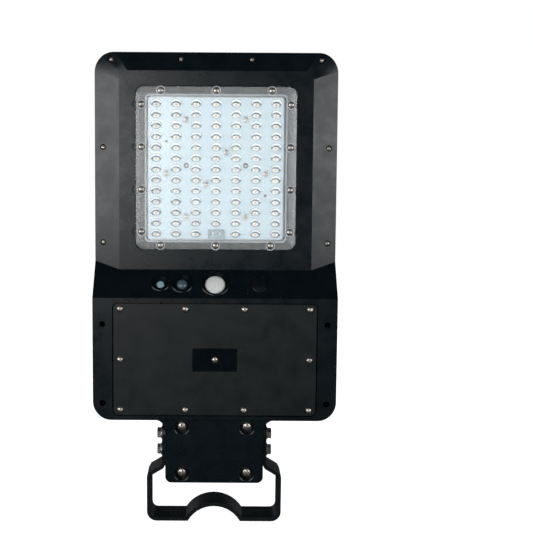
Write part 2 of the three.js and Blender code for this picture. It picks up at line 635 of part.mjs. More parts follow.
function pirShell() {
  const radius = pir.hole - GAP;
  const flangeNear = WALL + GAP;
  const inner = radius - 1.2;
  return [
    [0, -2.2], [radius * 0.4, -1.9], [radius * 0.72, -1.1], [radius * 0.93, 0.2], [radius, 1.8],
    [radius, flangeNear],
    [radius + 1.6, flangeNear],
    [radius + 1.6, flangeNear + 1.2],
    [inner, flangeNear + 1.2],
    [inner, 1.8], [inner * 0.9, 0.8], [inner * 0.6, -0.4], [0, -1],
  ];
}

function sensorParts() {
  const board = box(132, 22, SENSOR_BOARD_NEAR, SENSOR_BOARD_NEAR + 1.6, -4, sensorRow, slopeFace);
  const can = join(
    rod(4.6, 3, SENSOR_BOARD_NEAR - GAP, pir.x, sensorRow, slopeFace),
    rod(5.2, SENSOR_BOARD_NEAR - 1.4, SENSOR_BOARD_NEAR - GAP, pir.x, sensorRow, slopeFace),
  );
  const stemEnd = 6.6;
  const cap = turned([
    [0, 0.35], [button.hole * 0.6, 0.45], [button.hole - 1.1, 0.8], [button.hole - GAP, 1.3],
    [button.hole - GAP, WALL + GAP], [button.hole + 1, WALL + GAP], [button.hole + 1, WALL + 1.4],
    [3, WALL + 1.4], [3, stemEnd], [0, stemEnd],
  ], button.x, sensorRow, slopeFace, 16);
  const switchNear = stemEnd + BUTTON_TRAVEL + 0.3;
  const switchBody = box(12, 12, switchNear, SENSOR_BOARD_NEAR - 0.2, button.x, sensorRow, slopeFace);
  part('pir_lens', turned(pirShell(), pir.x, sensorRow, slopeFace, 16), milkyLens);
  part('pir_sensor', can, screwSteel);
  const windowPlug = sensorPlug(lightSensor.hole - 0.4, 6, 0.5, 0.9);
  const domePlug = sensorPlug(receiver.hole - GAP, 7.4, -2.2, 3.4);
  part('light_sensor_window', turned(windowPlug, lightSensor.x, sensorRow, slopeFace, 12), blueWindow);
  part('receiver_dome', turned(domePlug, receiver.x, sensorRow, slopeFace, 12), smokyDome);
  part('sensor_board', board, boardGreen);
  part('power_switch', switchBody, glossBlack);
  part('power_button', cap, blackRubber);
}
sensorParts();

// ---------------------------------------------------------------- internal leads
const LEAD_RADIUS = 1.6;
const ledLeadRoute = [
  [24, 9, 246], [26, 12, 228], [36, 12, 204], [48, 8, 180], [50, 3, 160], [51, -3, 132], [52, -3, 103],
];
const batteryLeadRoute = [[-4, -2, 160.5], [6, -6, 152], [14, -8, 136], [22, -8, 116], [32, -5, 103]];

function lead(name, route) {
  const circle = new THREE.Shape().absarc(0, 0, LEAD_RADIUS, 0, 2 * Math.PI);
  const path = new THREE.CatmullRomCurve3(route.map(([x, y, z]) => new THREE.Vector3(x, y, z)));
  const steps = 11;
  const tube = new THREE.ExtrudeGeometry(circle, { extrudePath: path, steps, curveSegments: 4 });
  part(name, solid(tube), insulation);
}
lead('led_lead', ledLeadRoute);
lead('battery_lead', batteryLeadRoute);

// ---------------------------------------------------------------- screws and bolts
// A pan-head screw: its head stands out of the face, its shank runs inwards from depth zero.
function panHead(headRadius, headHeight, shankRadius, length) {
  return [
    [0, -headHeight], [headRadius * 0.7, -headHeight * 0.9], [headRadius, -headHeight * 0.3],
    [headRadius, 0], [shankRadius, 0], [shankRadius, length], [0, length],
  ];
}

const lower = (profile, depth) => profile.map(([radius, along]) => [radius, along + depth]);

function screws() {
  neckBoltPlaces.forEach(([x, z], index) => {
    const profile = lower(panHead(4.75, 3.6, 2.5, 36), NECK_BORE.floor - 0.2);
    part(`neck_bolt_${index + 1}`, turned(profile, x, z, neckFace, 10), screwSteel);
  });
  coverScrewPlaces.forEach(([x, z], index) => {
    const profile = lower(panHead(2.8, 1.8, 1.4, 9), -0.1);
    part(`cover_screw_${index + 1}`, turned(profile, x, z, batteryFace, 8), screwSteel);
  });
  shellScrewPlaces.forEach(({ where, x, z, floor }, index) => {
    const profile = lower(panHead(SHELL_SCREW_HEAD, 2, SHELL_SCREW_SHANK, SHELL_SCREW_LENGTH), floor - 0.1);
    part(`shell_screw_${index + 1}`, turned(profile, x, z, where, 6), screwSteel);
  });
  const centre = lower(panHead(2.7, 1.3, 1.4, 10), 1.6);
  part('cover_centre_screw', turned(centre, 0, COVER_CENTRE, batteryFace, 8), screwSteel);
}
screws();

function bracketBolts() {
  const earOuter = NECK_HALF_WIDTH + EAR_CLEARANCE + BAR_THICKNESS;
  let index = 0;
  for (const side of [-1, 1]) {
    for (const z of SIDE_BOLT_PLACES) {
      index += 1;
      const washer = sideRod(6.4, earOuter + GAP, earOuter + 1.5, z, side, 16);
      const hexHead = sideRod(5.6, earOuter + 1.4, earOuter + 5.4, z, side, 6);
      const shank = sideRod(3, SIDE_BOLT_END + 0.5, earOuter + 1, z, side, 12);
      part(`bracket_bolt_${index}`, join(washer, hexHead, shank), screwSteel);
    }
  }
}
bracketBolts();

// ---------------------------------------------------------------- bracket
// Outline of a bar bent along a route, drawn in x and z, with the same thickness everywhere.
function bentBar(route, thickness) {
  const left = [];
  const right = [];
  route.forEach((point, index) => {
    const before = route[Math.max(index - 1, 0)];
    const after = route[Math.min(index + 1, route.length - 1)];
    const into = new THREE.Vector2().subVectors(index ? point : after, index ? before : point).normalize();
    const out = new THREE.Vector2().subVectors(index < route.length - 1 ? after : point,
      index < route.length - 1 ? point : before).normalize();
    const normal = new THREE.Vector2(-into.y - out.y, into.x + out.x).normalize();
    const reach = thickness / 2 / Math.sqrt((1 + into.dot(out)) / 2);
    left.push(point.clone().addScaledVector(normal, reach));
    right.push(point.clone().addScaledVector(normal, -reach));
  });
  return new THREE.Shape([...left, ...right.reverse()]);
}

// Points of an arc about a centre, angles in degrees from +x towards +z.
function arc(x, z, radius, from, to, steps) {
  const at = (step) => (from + (to - from) * step / steps) * DEG;
  return Array.from({ length: steps + 1 }, (_, step) => (
    new THREE.Vector2(x + radius * Math.cos(at(step)), z + radius * Math.sin(at(step)))
  ));
}

const ARCH_HALF_CHORD = 28;
const ARCH_RISE = 16;
const ARM_X = 67;
const ARM_BEND = 8;

function bracket() {
  const plateZ = -SEAT_BELOW_NECK + BAR_THICKNESS / 2;
  const earX = NECK_HALF_WIDTH + EAR_CLEARANCE + BAR_THICKNESS / 2;
  const archRadius = (ARCH_HALF_CHORD ** 2 + ARCH_RISE ** 2) / (2 * ARCH_RISE);
  const archZ = plateZ + ARCH_RISE - archRadius;
  const archEdge = Math.asin((plateZ - archZ) / archRadius) / DEG;
  const rightSide = [
    ...arc(0, archZ, archRadius, 90, archEdge, 7),
    ...arc(ARM_X - ARM_BEND, plateZ + ARM_BEND, ARM_BEND, -90, 0, 5),
    new THREE.Vector2(ARM_X, -2),
    new THREE.Vector2(ARM_X - 2, 2),
    new THREE.Vector2(earX + 2, 9),
    new THREE.Vector2(earX, 13),
    new THREE.Vector2(earX, PIVOT_ABOVE_NECK_END + BAR_WIDTH),
  ];
  const leftSide = rightSide.slice(1).reverse().map((point) => new THREE.Vector2(-point.x, point.y));
  const bar = slab(bentBar([...leftSide, ...rightSide], BAR_THICKNESS), -BAR_WIDTH / 2, BAR_WIDTH / 2, head);

  const ear = new THREE.Shape();
  ear.moveTo(-BAR_WIDTH / 2, -SEAT_BELOW_NECK - 5);
  ear.lineTo(BAR_WIDTH / 2, -SEAT_BELOW_NECK - 5);
  ear.lineTo(BAR_WIDTH / 2, PIVOT_ABOVE_NECK_END);
  ear.absarc(0, PIVOT_ABOVE_NECK_END, BAR_WIDTH / 2, 0, Math.PI);
  const rounded = bar.intersect(prism(ear, 2 * ARM_X, 8));

  const slotHalf = 3.4;
  const slot = new THREE.Shape();
  const slotFrom = -Math.PI / 2 - TILT_LIMIT;
  const slotTo = -Math.PI / 2 + TILT_LIMIT;
  slot.absarc(0, PIVOT_ABOVE_NECK_END, SLOT_RADIUS + slotHalf, slotFrom, slotTo);
  slot.absarc(0, PIVOT_ABOVE_NECK_END, SLOT_RADIUS - slotHalf, slotTo, slotFrom, true);
  const slotEnds = [-1, 1].map((end) => {
    const tip = new THREE.CylinderGeometry(slotHalf, slotHalf, 4 * ARM_X, 12);
    const angle = -Math.PI / 2 + end * TILT_LIMIT;
    tip.applyMatrix4(alongX);
    tip.translate(0, SLOT_RADIUS * Math.cos(angle), PIVOT_ABOVE_NECK_END + SLOT_RADIUS * Math.sin(angle));
    return solid(tip);
  });
  const pivotHole = new THREE.CylinderGeometry(3.3, 3.3, 4 * ARM_X, 12);
  pivotHole.applyMatrix4(alongX).translate(0, 0, PIVOT_ABOVE_NECK_END);

  const bandSlot = (side) => {
    const hole = new THREE.ExtrudeGeometry(roundedRect(14, 8.5, 4.2, side * 44, 0),
      { depth: 20, bevelEnabled: false, curveSegments: 4 });
    return solid(hole.translate(0, 0, -SEAT_BELOW_NECK - 10));
  };
  return cut(rounded, prism(slot, 2 * ARM_X, 6), slotEnds, solid(pivotHole), bandSlot(-1), bandSlot(1));
}
part('pole_bracket', bracket(), paintedSteel);

// ---------------------------------------------------------------- the lamp
const lamp = new THREE.Group();
lamp.position.z = SEAT_BELOW_NECK;
lamp.add(...parts);

const root = new THREE.Group();
root.add(lamp);

export default root;
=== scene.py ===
"""Solar street lamp: the finished look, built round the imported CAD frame. Metres throughout."""
import json
import math

import bmesh
import bpy
from mathutils import Matrix, Vector

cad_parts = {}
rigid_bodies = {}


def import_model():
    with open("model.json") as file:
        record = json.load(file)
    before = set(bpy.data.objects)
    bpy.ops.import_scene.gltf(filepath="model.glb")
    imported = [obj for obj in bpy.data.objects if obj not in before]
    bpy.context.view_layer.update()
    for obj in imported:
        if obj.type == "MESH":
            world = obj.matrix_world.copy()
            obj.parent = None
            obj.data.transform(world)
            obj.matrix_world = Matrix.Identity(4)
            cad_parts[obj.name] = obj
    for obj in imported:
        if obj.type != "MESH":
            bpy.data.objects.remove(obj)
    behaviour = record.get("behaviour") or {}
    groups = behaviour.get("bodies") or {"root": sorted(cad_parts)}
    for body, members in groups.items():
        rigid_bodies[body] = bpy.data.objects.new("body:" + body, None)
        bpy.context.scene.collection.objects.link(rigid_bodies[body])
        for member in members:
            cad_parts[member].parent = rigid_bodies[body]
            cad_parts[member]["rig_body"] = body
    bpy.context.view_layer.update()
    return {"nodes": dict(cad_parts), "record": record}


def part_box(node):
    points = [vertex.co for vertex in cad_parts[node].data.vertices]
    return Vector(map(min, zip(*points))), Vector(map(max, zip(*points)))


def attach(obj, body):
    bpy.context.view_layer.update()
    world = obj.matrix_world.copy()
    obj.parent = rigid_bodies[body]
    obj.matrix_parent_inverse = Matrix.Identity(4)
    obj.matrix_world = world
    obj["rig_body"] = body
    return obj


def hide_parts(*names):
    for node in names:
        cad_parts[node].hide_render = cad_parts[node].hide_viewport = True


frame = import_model()
NODES = frame["nodes"]
MM = 0.001
X_AXIS = Vector((1, 0, 0))


# ---------------------------------------------------------------- camera, lights and floor
AIM_HEIGHT = 264.5 * MM
AIM_DEPTH = -10 * MM
CAMERA_DISTANCE = 0.9
CAMERA_ELEVATION = 7.5               # degrees
CAMERA_ROLL = math.radians(0.35)
FRAME_SIDE = 533 * MM                # the square that the picture takes in at the aim point
LAMP_OFF_CENTRE = 51.2 * MM          # how far left of the picture's middle the lamp stands
SENSOR = 36.0                        # millimetres, as the camera's own lens length

LIGHT_TARGET = Vector((0, 0, 0.28))
SOFT_BOXES = (                       # azimuth, elevation (degrees), distance, width, height (metres), watts
    ("light_left", -39.5, 9.5, 1.7, 2.2, 0.60, 17.5),
    ("light_right", 48, 9.5, 1.7, 1.15, 0.60, 9.4),
    ("light_back_left", -128, 24, 1.9, 0.7, 1.3, 13),
    ("light_back_right", 124, 24, 1.9, 0.7, 1.3, 13),
)
WORLD_FILL = 0.025
FLOOR_REACH = 6.0


def direction(azimuth, elevation):
    """Unit vector from the lamp towards a place round it; azimuth 0 is in front of the LED side."""
    a, e = math.radians(azimuth), math.radians(elevation)
    return Vector((math.sin(a) * math.cos(e), -math.cos(a) * math.cos(e), math.sin(e)))


def look_from(obj, place, target, roll=0.0):
    """Stands a camera or a light at a place, pointed at the target."""
    turn = (target - place).to_track_quat("-Z", "Y").to_matrix().to_4x4()
    obj.matrix_world = Matrix.Translation(place) @ turn @ Matrix.Rotation(roll, 4, "Z")


def make_camera():
    data = bpy.data.cameras.new("camera")
    camera = bpy.data.objects.new("camera", data)
    bpy.context.scene.collection.objects.link(camera)
    aim = Vector((0, AIM_DEPTH, AIM_HEIGHT))
    place = aim + CAMERA_DISTANCE * direction(0, CAMERA_ELEVATION)
    look_from(camera, place, aim, CAMERA_ROLL)
    data.sensor_width = SENSOR
    data.lens = SENSOR * CAMERA_DISTANCE / FRAME_SIDE
    data.shift_x = LAMP_OFF_CENTRE / FRAME_SIDE
    data.clip_start = 0.01
    bpy.context.scene.camera = camera


def soft_box(name, azimuth, elevation, distance, width, height, power):
    data = bpy.data.lights.new(name, "AREA")
    data.shape = "RECTANGLE"
    data.size, data.size_y = width, height
    data.energy = power
    light = bpy.data.objects.new(name, data)
    bpy.context.scene.collection.objects.link(light)
    light.visible_camera = False
    look_from(light, LIGHT_TARGET + distance * direction(azimuth, elevation), LIGHT_TARGET)


def make_world():
    """White where the camera sees it, and only a faint cool fill for everything else."""
    world = bpy.data.worlds.new("studio")
    bpy.context.scene.world = world
    world.use_nodes = True
    nodes, links = world.node_tree.nodes, world.node_tree.links
    nodes.clear()
    seen, fill = nodes.new("ShaderNodeBackground"), nodes.new("ShaderNodeBackground")
    seen.inputs["Color"].default_value = (1, 1, 1, 1)
    fill.inputs["Color"].default_value = (0.75, 0.90, 1.0, 1)
    fill.inputs["Strength"].default_value = WORLD_FILL
    rays, mix, out = (nodes.new(f"ShaderNode{kind}") for kind in ("LightPath", "MixShader", "OutputWorld"))
    links.new(rays.outputs["Is Camera Ray"], mix.inputs[0])
    links.new(fill.outputs[0], mix.inputs[1])
    links.new(seen.outputs[0], mix.inputs[2])
    links.new(mix.outputs[0], out.inputs["Surface"])


def make_stage():
    make_world()
    for box in SOFT_BOXES:
        soft_box(*box)
    mesh = bpy.data.meshes.new("floor")
    corners = [(x * FLOOR_REACH, y * FLOOR_REACH, 0) for x, y in ((-1, -1), (1, -1), (1, 1), (-1, 1))]
    mesh.from_pydata(corners, [], [(0, 1, 2, 3)])
    floor = bpy.data.objects.new("floor", mesh)
    bpy.context.scene.collection.objects.link(floor)
    mesh.materials.append(floor_material())
    floor.visible_glossy = False


# ---------------------------------------------------------------- material building blocks
NOISE_SPAN = (0.35, 0.65)            # where most of a noise's values lie
PLASTIC_IOR = 1.5
UNEVEN_GLOSS = 0.05
FINGER_PITCH = 3.1 * MM
FINGER_SHARE = 0.3


def shader(name):
    material = bpy.data.materials.new(name)
    material.use_nodes = True
    return material, material.node_tree, material.node_tree.nodes["Principled BSDF"]


def node(tree, kind, **inputs):
    made = tree.nodes.new(f"ShaderNode{kind}")
    for key, value in inputs.items():
        made.inputs[key].default_value = value
    return made


def noise(tree, scale, detail=2.0, roughness=0.5):
    """A noise in the object's own coordinates, with its scale counted per metre."""
    place = tree.nodes.new("ShaderNodeTexCoord")
    made = node(tree, "TexNoise", Scale=scale, Detail=detail, Roughness=roughness)
    tree.links.new(place.outputs["Object"], made.inputs["Vector"])
    return made.outputs["Fac"]


def between(tree, value, low, high, source=NOISE_SPAN):
    """Maps a value's source span onto low to high."""
    made = tree.nodes.new("ShaderNodeMapRange")
    made.inputs["From Min"].default_value, made.inputs["From Max"].default_value = source
    made.inputs["To Min"].default_value, made.inputs["To Max"].default_value = low, high
    tree.links.new(value, made.inputs["Value"])
    return made.outputs["Result"]


def blend_colors(tree, value, first, second, source=NOISE_SPAN):
    made = tree.nodes.new("ShaderNodeMix")
    made.data_type = "RGBA"
    made.inputs["A"].default_value = (*first, 1)
    made.inputs["B"].default_value = (*second, 1)
    tree.links.new(between(tree, value, 0, 1, source), made.inputs["Factor"])
    return made.outputs["Result"]


def bump(tree, bsdf, height, distance, strength=1.0):
    made = tree.nodes.new("ShaderNodeBump")
    made.inputs["Distance"].default_value = distance
    made.inputs["Strength"].default_value = strength
    tree.links.new(height, made.inputs["Height"])
    tree.links.new(made.outputs["Normal"], bsdf.inputs["Normal"])


def scaled(color, factor):
    return tuple(min(channel * factor, 1.0) for channel in color)


def grained(name, color, roughness, spread=0.15, grain=1800, depth=0.00003, metallic=0.0):
    """A moulded, painted or cast surface: cloudy colour, uneven gloss and a fine even grain."""
    material, tree, bsdf = shader(name)
    cloud = noise(tree, 22, 4.0)
    tree.links.new(blend_colors(tree, cloud, scaled(color, 1 - spread), scaled(color, 1 + spread)),
                   bsdf.inputs["Base Color"])
    smear = noise(tree, 55, 5.0, 0.6)
    tree.links.new(between(tree, smear, roughness - UNEVEN_GLOSS, roughness + UNEVEN_GLOSS),
                   bsdf.inputs["Roughness"])
    bump(tree, bsdf, noise(tree, grain, 2.0, 0.55), depth)
    bsdf.inputs["Metallic"].default_value = metallic
    bsdf.inputs["IOR"].default_value = PLASTIC_IOR
    return material


def floor_material():
    """Pale floor that keeps the lamp's soft shadow and is otherwise as light as the background."""
    material, tree, bsdf = shader("floor")
    cloud = noise(tree, 3, 2.0)
    tree.links.new(blend_colors(tree, cloud, (0.48, 0.48, 0.48), (0.5, 0.5, 0.5)), bsdf.inputs["Base Color"])
    bsdf.inputs["Roughness"].default_value = 0.9
    bsdf.inputs["Emission Color"].default_value = (1, 1, 1, 1)
    bsdf.inputs["Emission Strength"].default_value = 0.985
    return material


def plated_steel(name, color, roughness):
    """Bright plated steel with fine turning marks and a few duller patches."""
    material, tree, bsdf = shader(name)
    patches = noise(tree, 260, 4.0, 0.6)
    tree.links.new(blend_colors(tree, patches, scaled(color, 0.86), color), bsdf.inputs["Base Color"])
    tree.links.new(between(tree, patches, roughness - 0.06, roughness + 0.1), bsdf.inputs["Roughness"])
    bump(tree, bsdf, noise(tree, 2600, 2.0), 0.00001)
    bsdf.inputs["Metallic"].default_value = 1.0
    return material


def see_through(name, color, roughness, ior):
    """Clear plastic or glass that lets direct light through to what is behind it."""
    material, tree, bsdf = shader(name)
    haze = noise(tree, 90, 4.0, 0.6)
    tree.links.new(between(tree, haze, roughness, roughness + 0.03), bsdf.inputs["Roughness"])
    tree.links.new(blend_colors(tree, haze, scaled(color, 0.985), color), bsdf.inputs["Base Color"])
    bsdf.inputs["Transmission Weight"].default_value = 1.0
    bsdf.inputs["IOR"].default_value = ior
    clear, rays, mix = (tree.nodes.new(f"ShaderNode{kind}")
                        for kind in ("BsdfTransparent", "LightPath", "MixShader"))
    clear.inputs["Color"].default_value = (*scaled(color, 0.97), 1)
    tree.links.new(rays.outputs["Is Shadow Ray"], mix.inputs[0])
    tree.links.new(bsdf.outputs[0], mix.inputs[1])
    tree.links.new(clear.outputs[0], mix.inputs[2])
    tree.links.new(mix.outputs[0], tree.nodes["Material Output"].inputs["Surface"])
    return material


def hazy(name, color, share):
    """Clear plastic with a share of milky scatter in it, as on moulded, unpolished skin; on the lens's dome
    edges and hollow walls the scatter is painted shade.
    """
    material = see_through(name, (0.97, 0.99, 1.0), 0.22, 1.49)
    tree = material.node_tree
    output = tree.nodes["Material Output"]
    clear = output.inputs["Surface"].links[0].from_socket
    scatter, mix = tree.nodes.new("ShaderNodeBsdfDiffuse"), tree.nodes.new("ShaderNodeMixShader")
    cloud = noise(tree, 140, 3.0)
    tree.links.new(blend_colors(tree, cloud, scaled(color, 0.92), color), scatter.inputs["Color"])
    tree.links.new(between(tree, cloud, share * 0.85, share * 1.15), mix.inputs[0])
    tree.links.new(clear, mix.inputs[1])
    tree.links.new(scatter.outputs[0], mix.inputs[2])
    tree.links.new(mix.outputs[0], output.inputs["Surface"])
    return material


def math_step(tree, operation, value, second=0.0):
    made = tree.nodes.new("ShaderNodeMath")
    made.operation = operation
    made.inputs[1].default_value = second
    tree.links.new(value, made.inputs[0])
    return made.outputs[0]


def stripes(tree, pitch, share):
    """1 on thin lines a pitch apart across the object's x, 0 between them."""
    place = tree.nodes.new("ShaderNodeTexCoord")
    split = tree.nodes.new("ShaderNodeSeparateXYZ")
    tree.links.new(place.outputs["Object"], split.inputs[0])
    part = math_step(tree, "FRACT", math_step(tree, "DIVIDE", split.outputs["X"], pitch))
    return math_step(tree, "LESS_THAN", part, share)


def cell_material():
    """Monocrystalline silicon: blue-black, with hair-thin silver fingers along each strip."""
    material, tree, bsdf = shader("solar_cell")
    cloud = noise(tree, 14, 3.0)
    base = blend_colors(tree, cloud, (0.0015, 0.0025, 0.008), (0.003, 0.005, 0.014))
    mix = tree.nodes.new("ShaderNodeMix")
    mix.data_type = "RGBA"
    mix.inputs["B"].default_value = (0.02, 0.03, 0.055, 1)
    tree.links.new(base, mix.inputs["A"])
    tree.links.new(stripes(tree, FINGER_PITCH, FINGER_SHARE), mix.inputs["Factor"])
    tree.links.new(mix.outputs["Result"], bsdf.inputs["Base Color"])
    tree.links.new(between(tree, cloud, 0.22, 0.34), bsdf.inputs["Roughness"])
    return material


def board_material(name, color, copper, pitch):
    """Circuit board: solder mask over faint raised copper tracks."""
    material, tree, bsdf = shader(name)
    place = tree.nodes.new("ShaderNodeTexCoord")
    tracks = node(tree, "TexVoronoi", Scale=1 / pitch)
    tracks.distance = "CHEBYCHEV"
    tracks.feature = "DISTANCE_TO_EDGE"
    tree.links.new(place.outputs["Object"], tracks.inputs["Vector"])
    tree.links.new(blend_colors(tree, tracks.outputs["Distance"], copper, color, (0.02, 0.05)),
                   bsdf.inputs["Base Color"])
    tree.links.new(between(tree, noise(tree, 60, 3.0), 0.3, 0.42), bsdf.inputs["Roughness"])
    bump(tree, bsdf, tracks.outputs["Distance"], 0.00002, 0.4)
    return material


def pir_material():
    """Milky polyethylene with the ghost of its lens facets."""
    material, tree, bsdf = shader("milky_plastic")
    place = tree.nodes.new("ShaderNodeTexCoord")
    facets = node(tree, "TexVoronoi", Scale=330)
    facets.feature = "DISTANCE_TO_EDGE"
    tree.links.new(place.outputs["Object"], facets.inputs["Vector"])
    edge, middle = (0.60, 0.62, 0.60), (0.70, 0.72, 0.71)
    milk = blend_colors(tree, facets.outputs["Distance"], edge, middle, (0.0, 0.10))
    tree.links.new(milk, bsdf.inputs["Base Color"])
    tree.links.new(between(tree, noise(tree, 300, 2.0), 0.14, 0.2), bsdf.inputs["Roughness"])
    bsdf.inputs["Subsurface Weight"].default_value = 0.4
    bsdf.inputs["Subsurface Radius"].default_value = (0.004, 0.004, 0.004)
    bsdf.inputs["Subsurface Scale"].default_value = 0.5
    bump(tree, bsdf, facets.outputs["Distance"], 0.00006, 0.5)
    return material


MATERIALS = {
    "black_abs": grained("black_abs", (0.0010, 0.0034, 0.0050), 0.29, grain=2200, depth=0.000012),
    "cover_abs": grained("cover_abs", (0.0030, 0.0052, 0.0060), 0.40, grain=1500, depth=0.00002),
    "gloss_black": grained("gloss_black", (0.001, 0.0025, 0.004), 0.16, grain=900, depth=0.000003),
    "black_rubber": grained("black_rubber", (0.0010, 0.0028, 0.0040), 0.36, grain=1200, depth=0.00001),
    "grey_silicone": grained("grey_silicone", (0.30, 0.32, 0.33), 0.55, grain=900, depth=0.00002),
    "white_led_board": board_material("white_led_board", (0.57, 0.645, 0.68), (0.55, 0.62, 0.66), 9.85 * MM),
    "aluminium_plate": grained("aluminium_plate", (0.55, 0.56, 0.57), 0.38, metallic=1.0),
    "circuit_board": board_material("circuit_board", (0.012, 0.09, 0.03), (0.03, 0.17, 0.06), 4 * MM),
    "cell_wrap": grained("cell_wrap", (0.012, 0.06, 0.26), 0.3, grain=500),
    "red_insulation": grained("red_insulation", (0.42, 0.015, 0.012), 0.45, grain=1500),
    "painted_bracket": grained("painted_bracket", (0.0030, 0.0048, 0.0060), 0.36, grain=950, depth=0.00005),
    "screw_steel": plated_steel("screw_steel", (0.72, 0.67, 0.61), 0.38),
    "clear_lens": see_through("clear_lens", (0.97, 0.99, 1.0), 0.13, 1.49),
    "panel_glass": see_through("panel_glass", (0.96, 0.98, 0.98), 0.02, 1.45),
    "milky_lens": pir_material(),
    "blue_window": grained("blue_window", (0.24, 0.37, 0.44), 0.14, spread=0.1, depth=0.000002),
    "smoky_dome": grained("smoky_dome", (0.055, 0.085, 0.11), 0.10, spread=0.2, depth=0.000002),
    "solar_cells": cell_material(),
}
DARK_STEEL = plated_steel("dark_steel", (0.30, 0.28, 0.27), 0.35)
PHOSPHOR = grained("phosphor", (0.98, 0.52, 0.09), 0.5, grain=3000, depth=0.00002)
WHITE_CERAMIC = grained("white_ceramic", (0.86, 0.88, 0.88), 0.4)
SILVER_RIBBON = grained("silver_ribbon", (0.62, 0.63, 0.65), 0.34, metallic=1.0, grain=700)
WHITE_BACKSHEET = grained("white_backsheet", (0.88, 0.90, 0.91), 0.6, spread=0.03, grain=900)
COLLAR_GLOSS = grained("collar_gloss", (0.0012, 0.0034, 0.0048), 0.2, grain=2200, depth=0.000004)
DULL_STEEL = plated_steel("dull_steel", (0.66, 0.61, 0.58), 0.45)
# painted light: white of the ovals under the domes, for the light each lens dome gathers onto the board
PAINTED_LIGHT_WHITE = grained("painted_light_white", (0.93, 0.94, 0.95), 0.5, spread=0.02)
# painted shade: the first greys the rings at the domes' and hollows' edges, the second the walls inside the
# hollows, in place of the shading refraction makes in the lens; the second is also the flange's and bosses'
# own haze
LENS_EDGE_SHADE = hazy("lens_painted_edge_shade", (0.36, 0.44, 0.50), 0.5)
LENS_HAZE_AND_SHADE = hazy("lens_haze_and_painted_shade", (0.66, 0.69, 0.70), 0.18)
MILKY_NYLON = hazy("milky_nylon", (0.55, 0.62, 0.66), 0.35)


# ---------------------------------------------------------------- mesh building blocks
FACING = 0.6                         # least share of a normal that points out of the face's own side
SAME_PLANE = 0.9999
SMALLEST_CORNER = 0.05 * MM


class Face:
    """A flat side of a CAD node: x across it, y up it, z out of it, origin in its middle."""

    def __init__(self, name, side):
        mesh = NODES[name].data
        planes = []
        for polygon in mesh.polygons:
            if abs(polygon.normal.y) < FACING:
                continue
            lie = polygon.normal * math.copysign(polygon.area, polygon.normal.y * side)
            alike = next((p for p in planes if p.normalized().dot(lie.normalized()) > SAME_PLANE), None)
            if alike is None:
                planes.append(lie)
            else:
                alike += lie
        out = max(planes, key=lambda plane: plane.length).normalized()
        up = out.cross(X_AXIS) * (1 if side < 0 else -1)
        across = up.cross(out)
        middle = (Vector(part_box(name)[0]) + Vector(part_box(name)[1])) / 2
        spans = [(min(values) + max(values)) / 2 for values in zip(*(
            ((v.co - middle).dot(across), (v.co - middle).dot(up)) for v in mesh.vertices))]
        height = max((v.co - middle).dot(out) for v in mesh.vertices)
        origin = middle + across * spans[0] + up * spans[1] + out * height
        self.matrix = Matrix.Translation(origin) @ Matrix((across, up, out)).transposed().to_4x4()

    def at(self, x, y, z=0.0):
        return self.matrix @ Matrix.Translation((x, y, z))

    def local(self, point):
        return self.matrix.inverted() @ Vector(point)


def outline(width, height, radius, per_corner=6):
    """A rounded rectangle's points, anticlockwise round the origin."""
    points = []
    for corner, (sx, sy) in enumerate(((1, 1), (-1, 1), (-1, -1), (1, -1))):
        for step in range(per_corner + 1):
            angle = math.pi / 2 * (corner + step / per_corner)
            points.append((sx * (width / 2 - radius) + radius * math.cos(angle),
                           sy * (height / 2 - radius) + radius * math.sin(angle)))
    return points


def loft(bm, rings, cap=True):
    """Joins closed rings of points, given bottom to top, and fills the first and the last."""
    loops = [[bm.verts.new(point) for point in ring] for ring in rings]
    for low, high in zip(loops, loops[1:]):
        for i in range(len(low)):
            j = (i + 1) % len(low)
            bm.faces.new((low[i], low[j], high[j], high[i]))
    if cap:
        bm.faces.new(list(reversed(loops[0])))
        bm.faces.new(loops[-1])
    return loops


def plate(bm, width, height, radius, low, high, edge=0.3 * MM, x=0.0, y=0.0, steps=2, per_corner=6):
    """A rounded rectangular plate whose upper rim is rolled over by edge."""
    rings = [(0.0, low)]
    rings += [(edge * (1 - math.cos(a)), high - edge + edge * math.sin(a))
              for a in (math.pi / 2 * step / steps for step in range(steps + 1))]
    loops = []
    for inset, z in rings:
        corner = max(radius - inset, SMALLEST_CORNER)
        points = outline(width - 2 * inset, height - 2 * inset, corner, per_corner)
        loops.append([(px + x, py + y, z) for px, py in points])
    loft(bm, loops)


def in_metres(profile):
    return [(radius * MM, height * MM) for radius, height in profile]


def turned(bm, profile, sides=24, x=0.0, y=0.0):
    """A solid of revolution about z from (radius, z) points, starting and ending on the axis."""
    loops = []
    for radius, z in profile:
        if radius == 0:
            loops.append([bm.verts.new((x, y, z))])
            continue
        loops.append([bm.verts.new((x + radius * math.cos(a), y + radius * math.sin(a), z))
                      for a in (2 * math.pi * i / sides for i in range(sides))])
    for low, high in zip(loops, loops[1:]):
        for i in range(sides):
            j = (i + 1) % sides
            ring = [low[i % len(low)], low[j % len(low)], high[j % len(high)], high[i % len(high)]]
            corners = list(dict.fromkeys(ring))
            if len(corners) > 2:
                bm.faces.new(corners)
    return loops


def band(bm, profile, x, y, base, sides=24):
    """A closed ring of revolution about (x, y) from (radius, height) points in millimetres."""
    loops = turned(bm, [(radius * MM, base + z * MM) for radius, z in profile], sides, x, y)
    for i in range(sides):
        j = (i + 1) % sides
        bm.faces.new((loops[-1][i], loops[-1][j], loops[0][j], loops[0][i]))


def to_mesh(bm, name, smooth_below=38):
    """Finishes a bmesh: outward normals, smooth faces, and sharp edges where it really turns."""
    bmesh.ops.recalc_face_normals(bm, faces=bm.faces)
    for face in bm.faces:
        face.smooth = True
    for edge in bm.edges:
        edge.smooth = len(edge.link_faces) == 2 and edge.calc_face_angle() < math.radians(smooth_below)
    mesh = bpy.data.meshes.new(name)
    bm.to_mesh(mesh)
    bm.free()
    return mesh


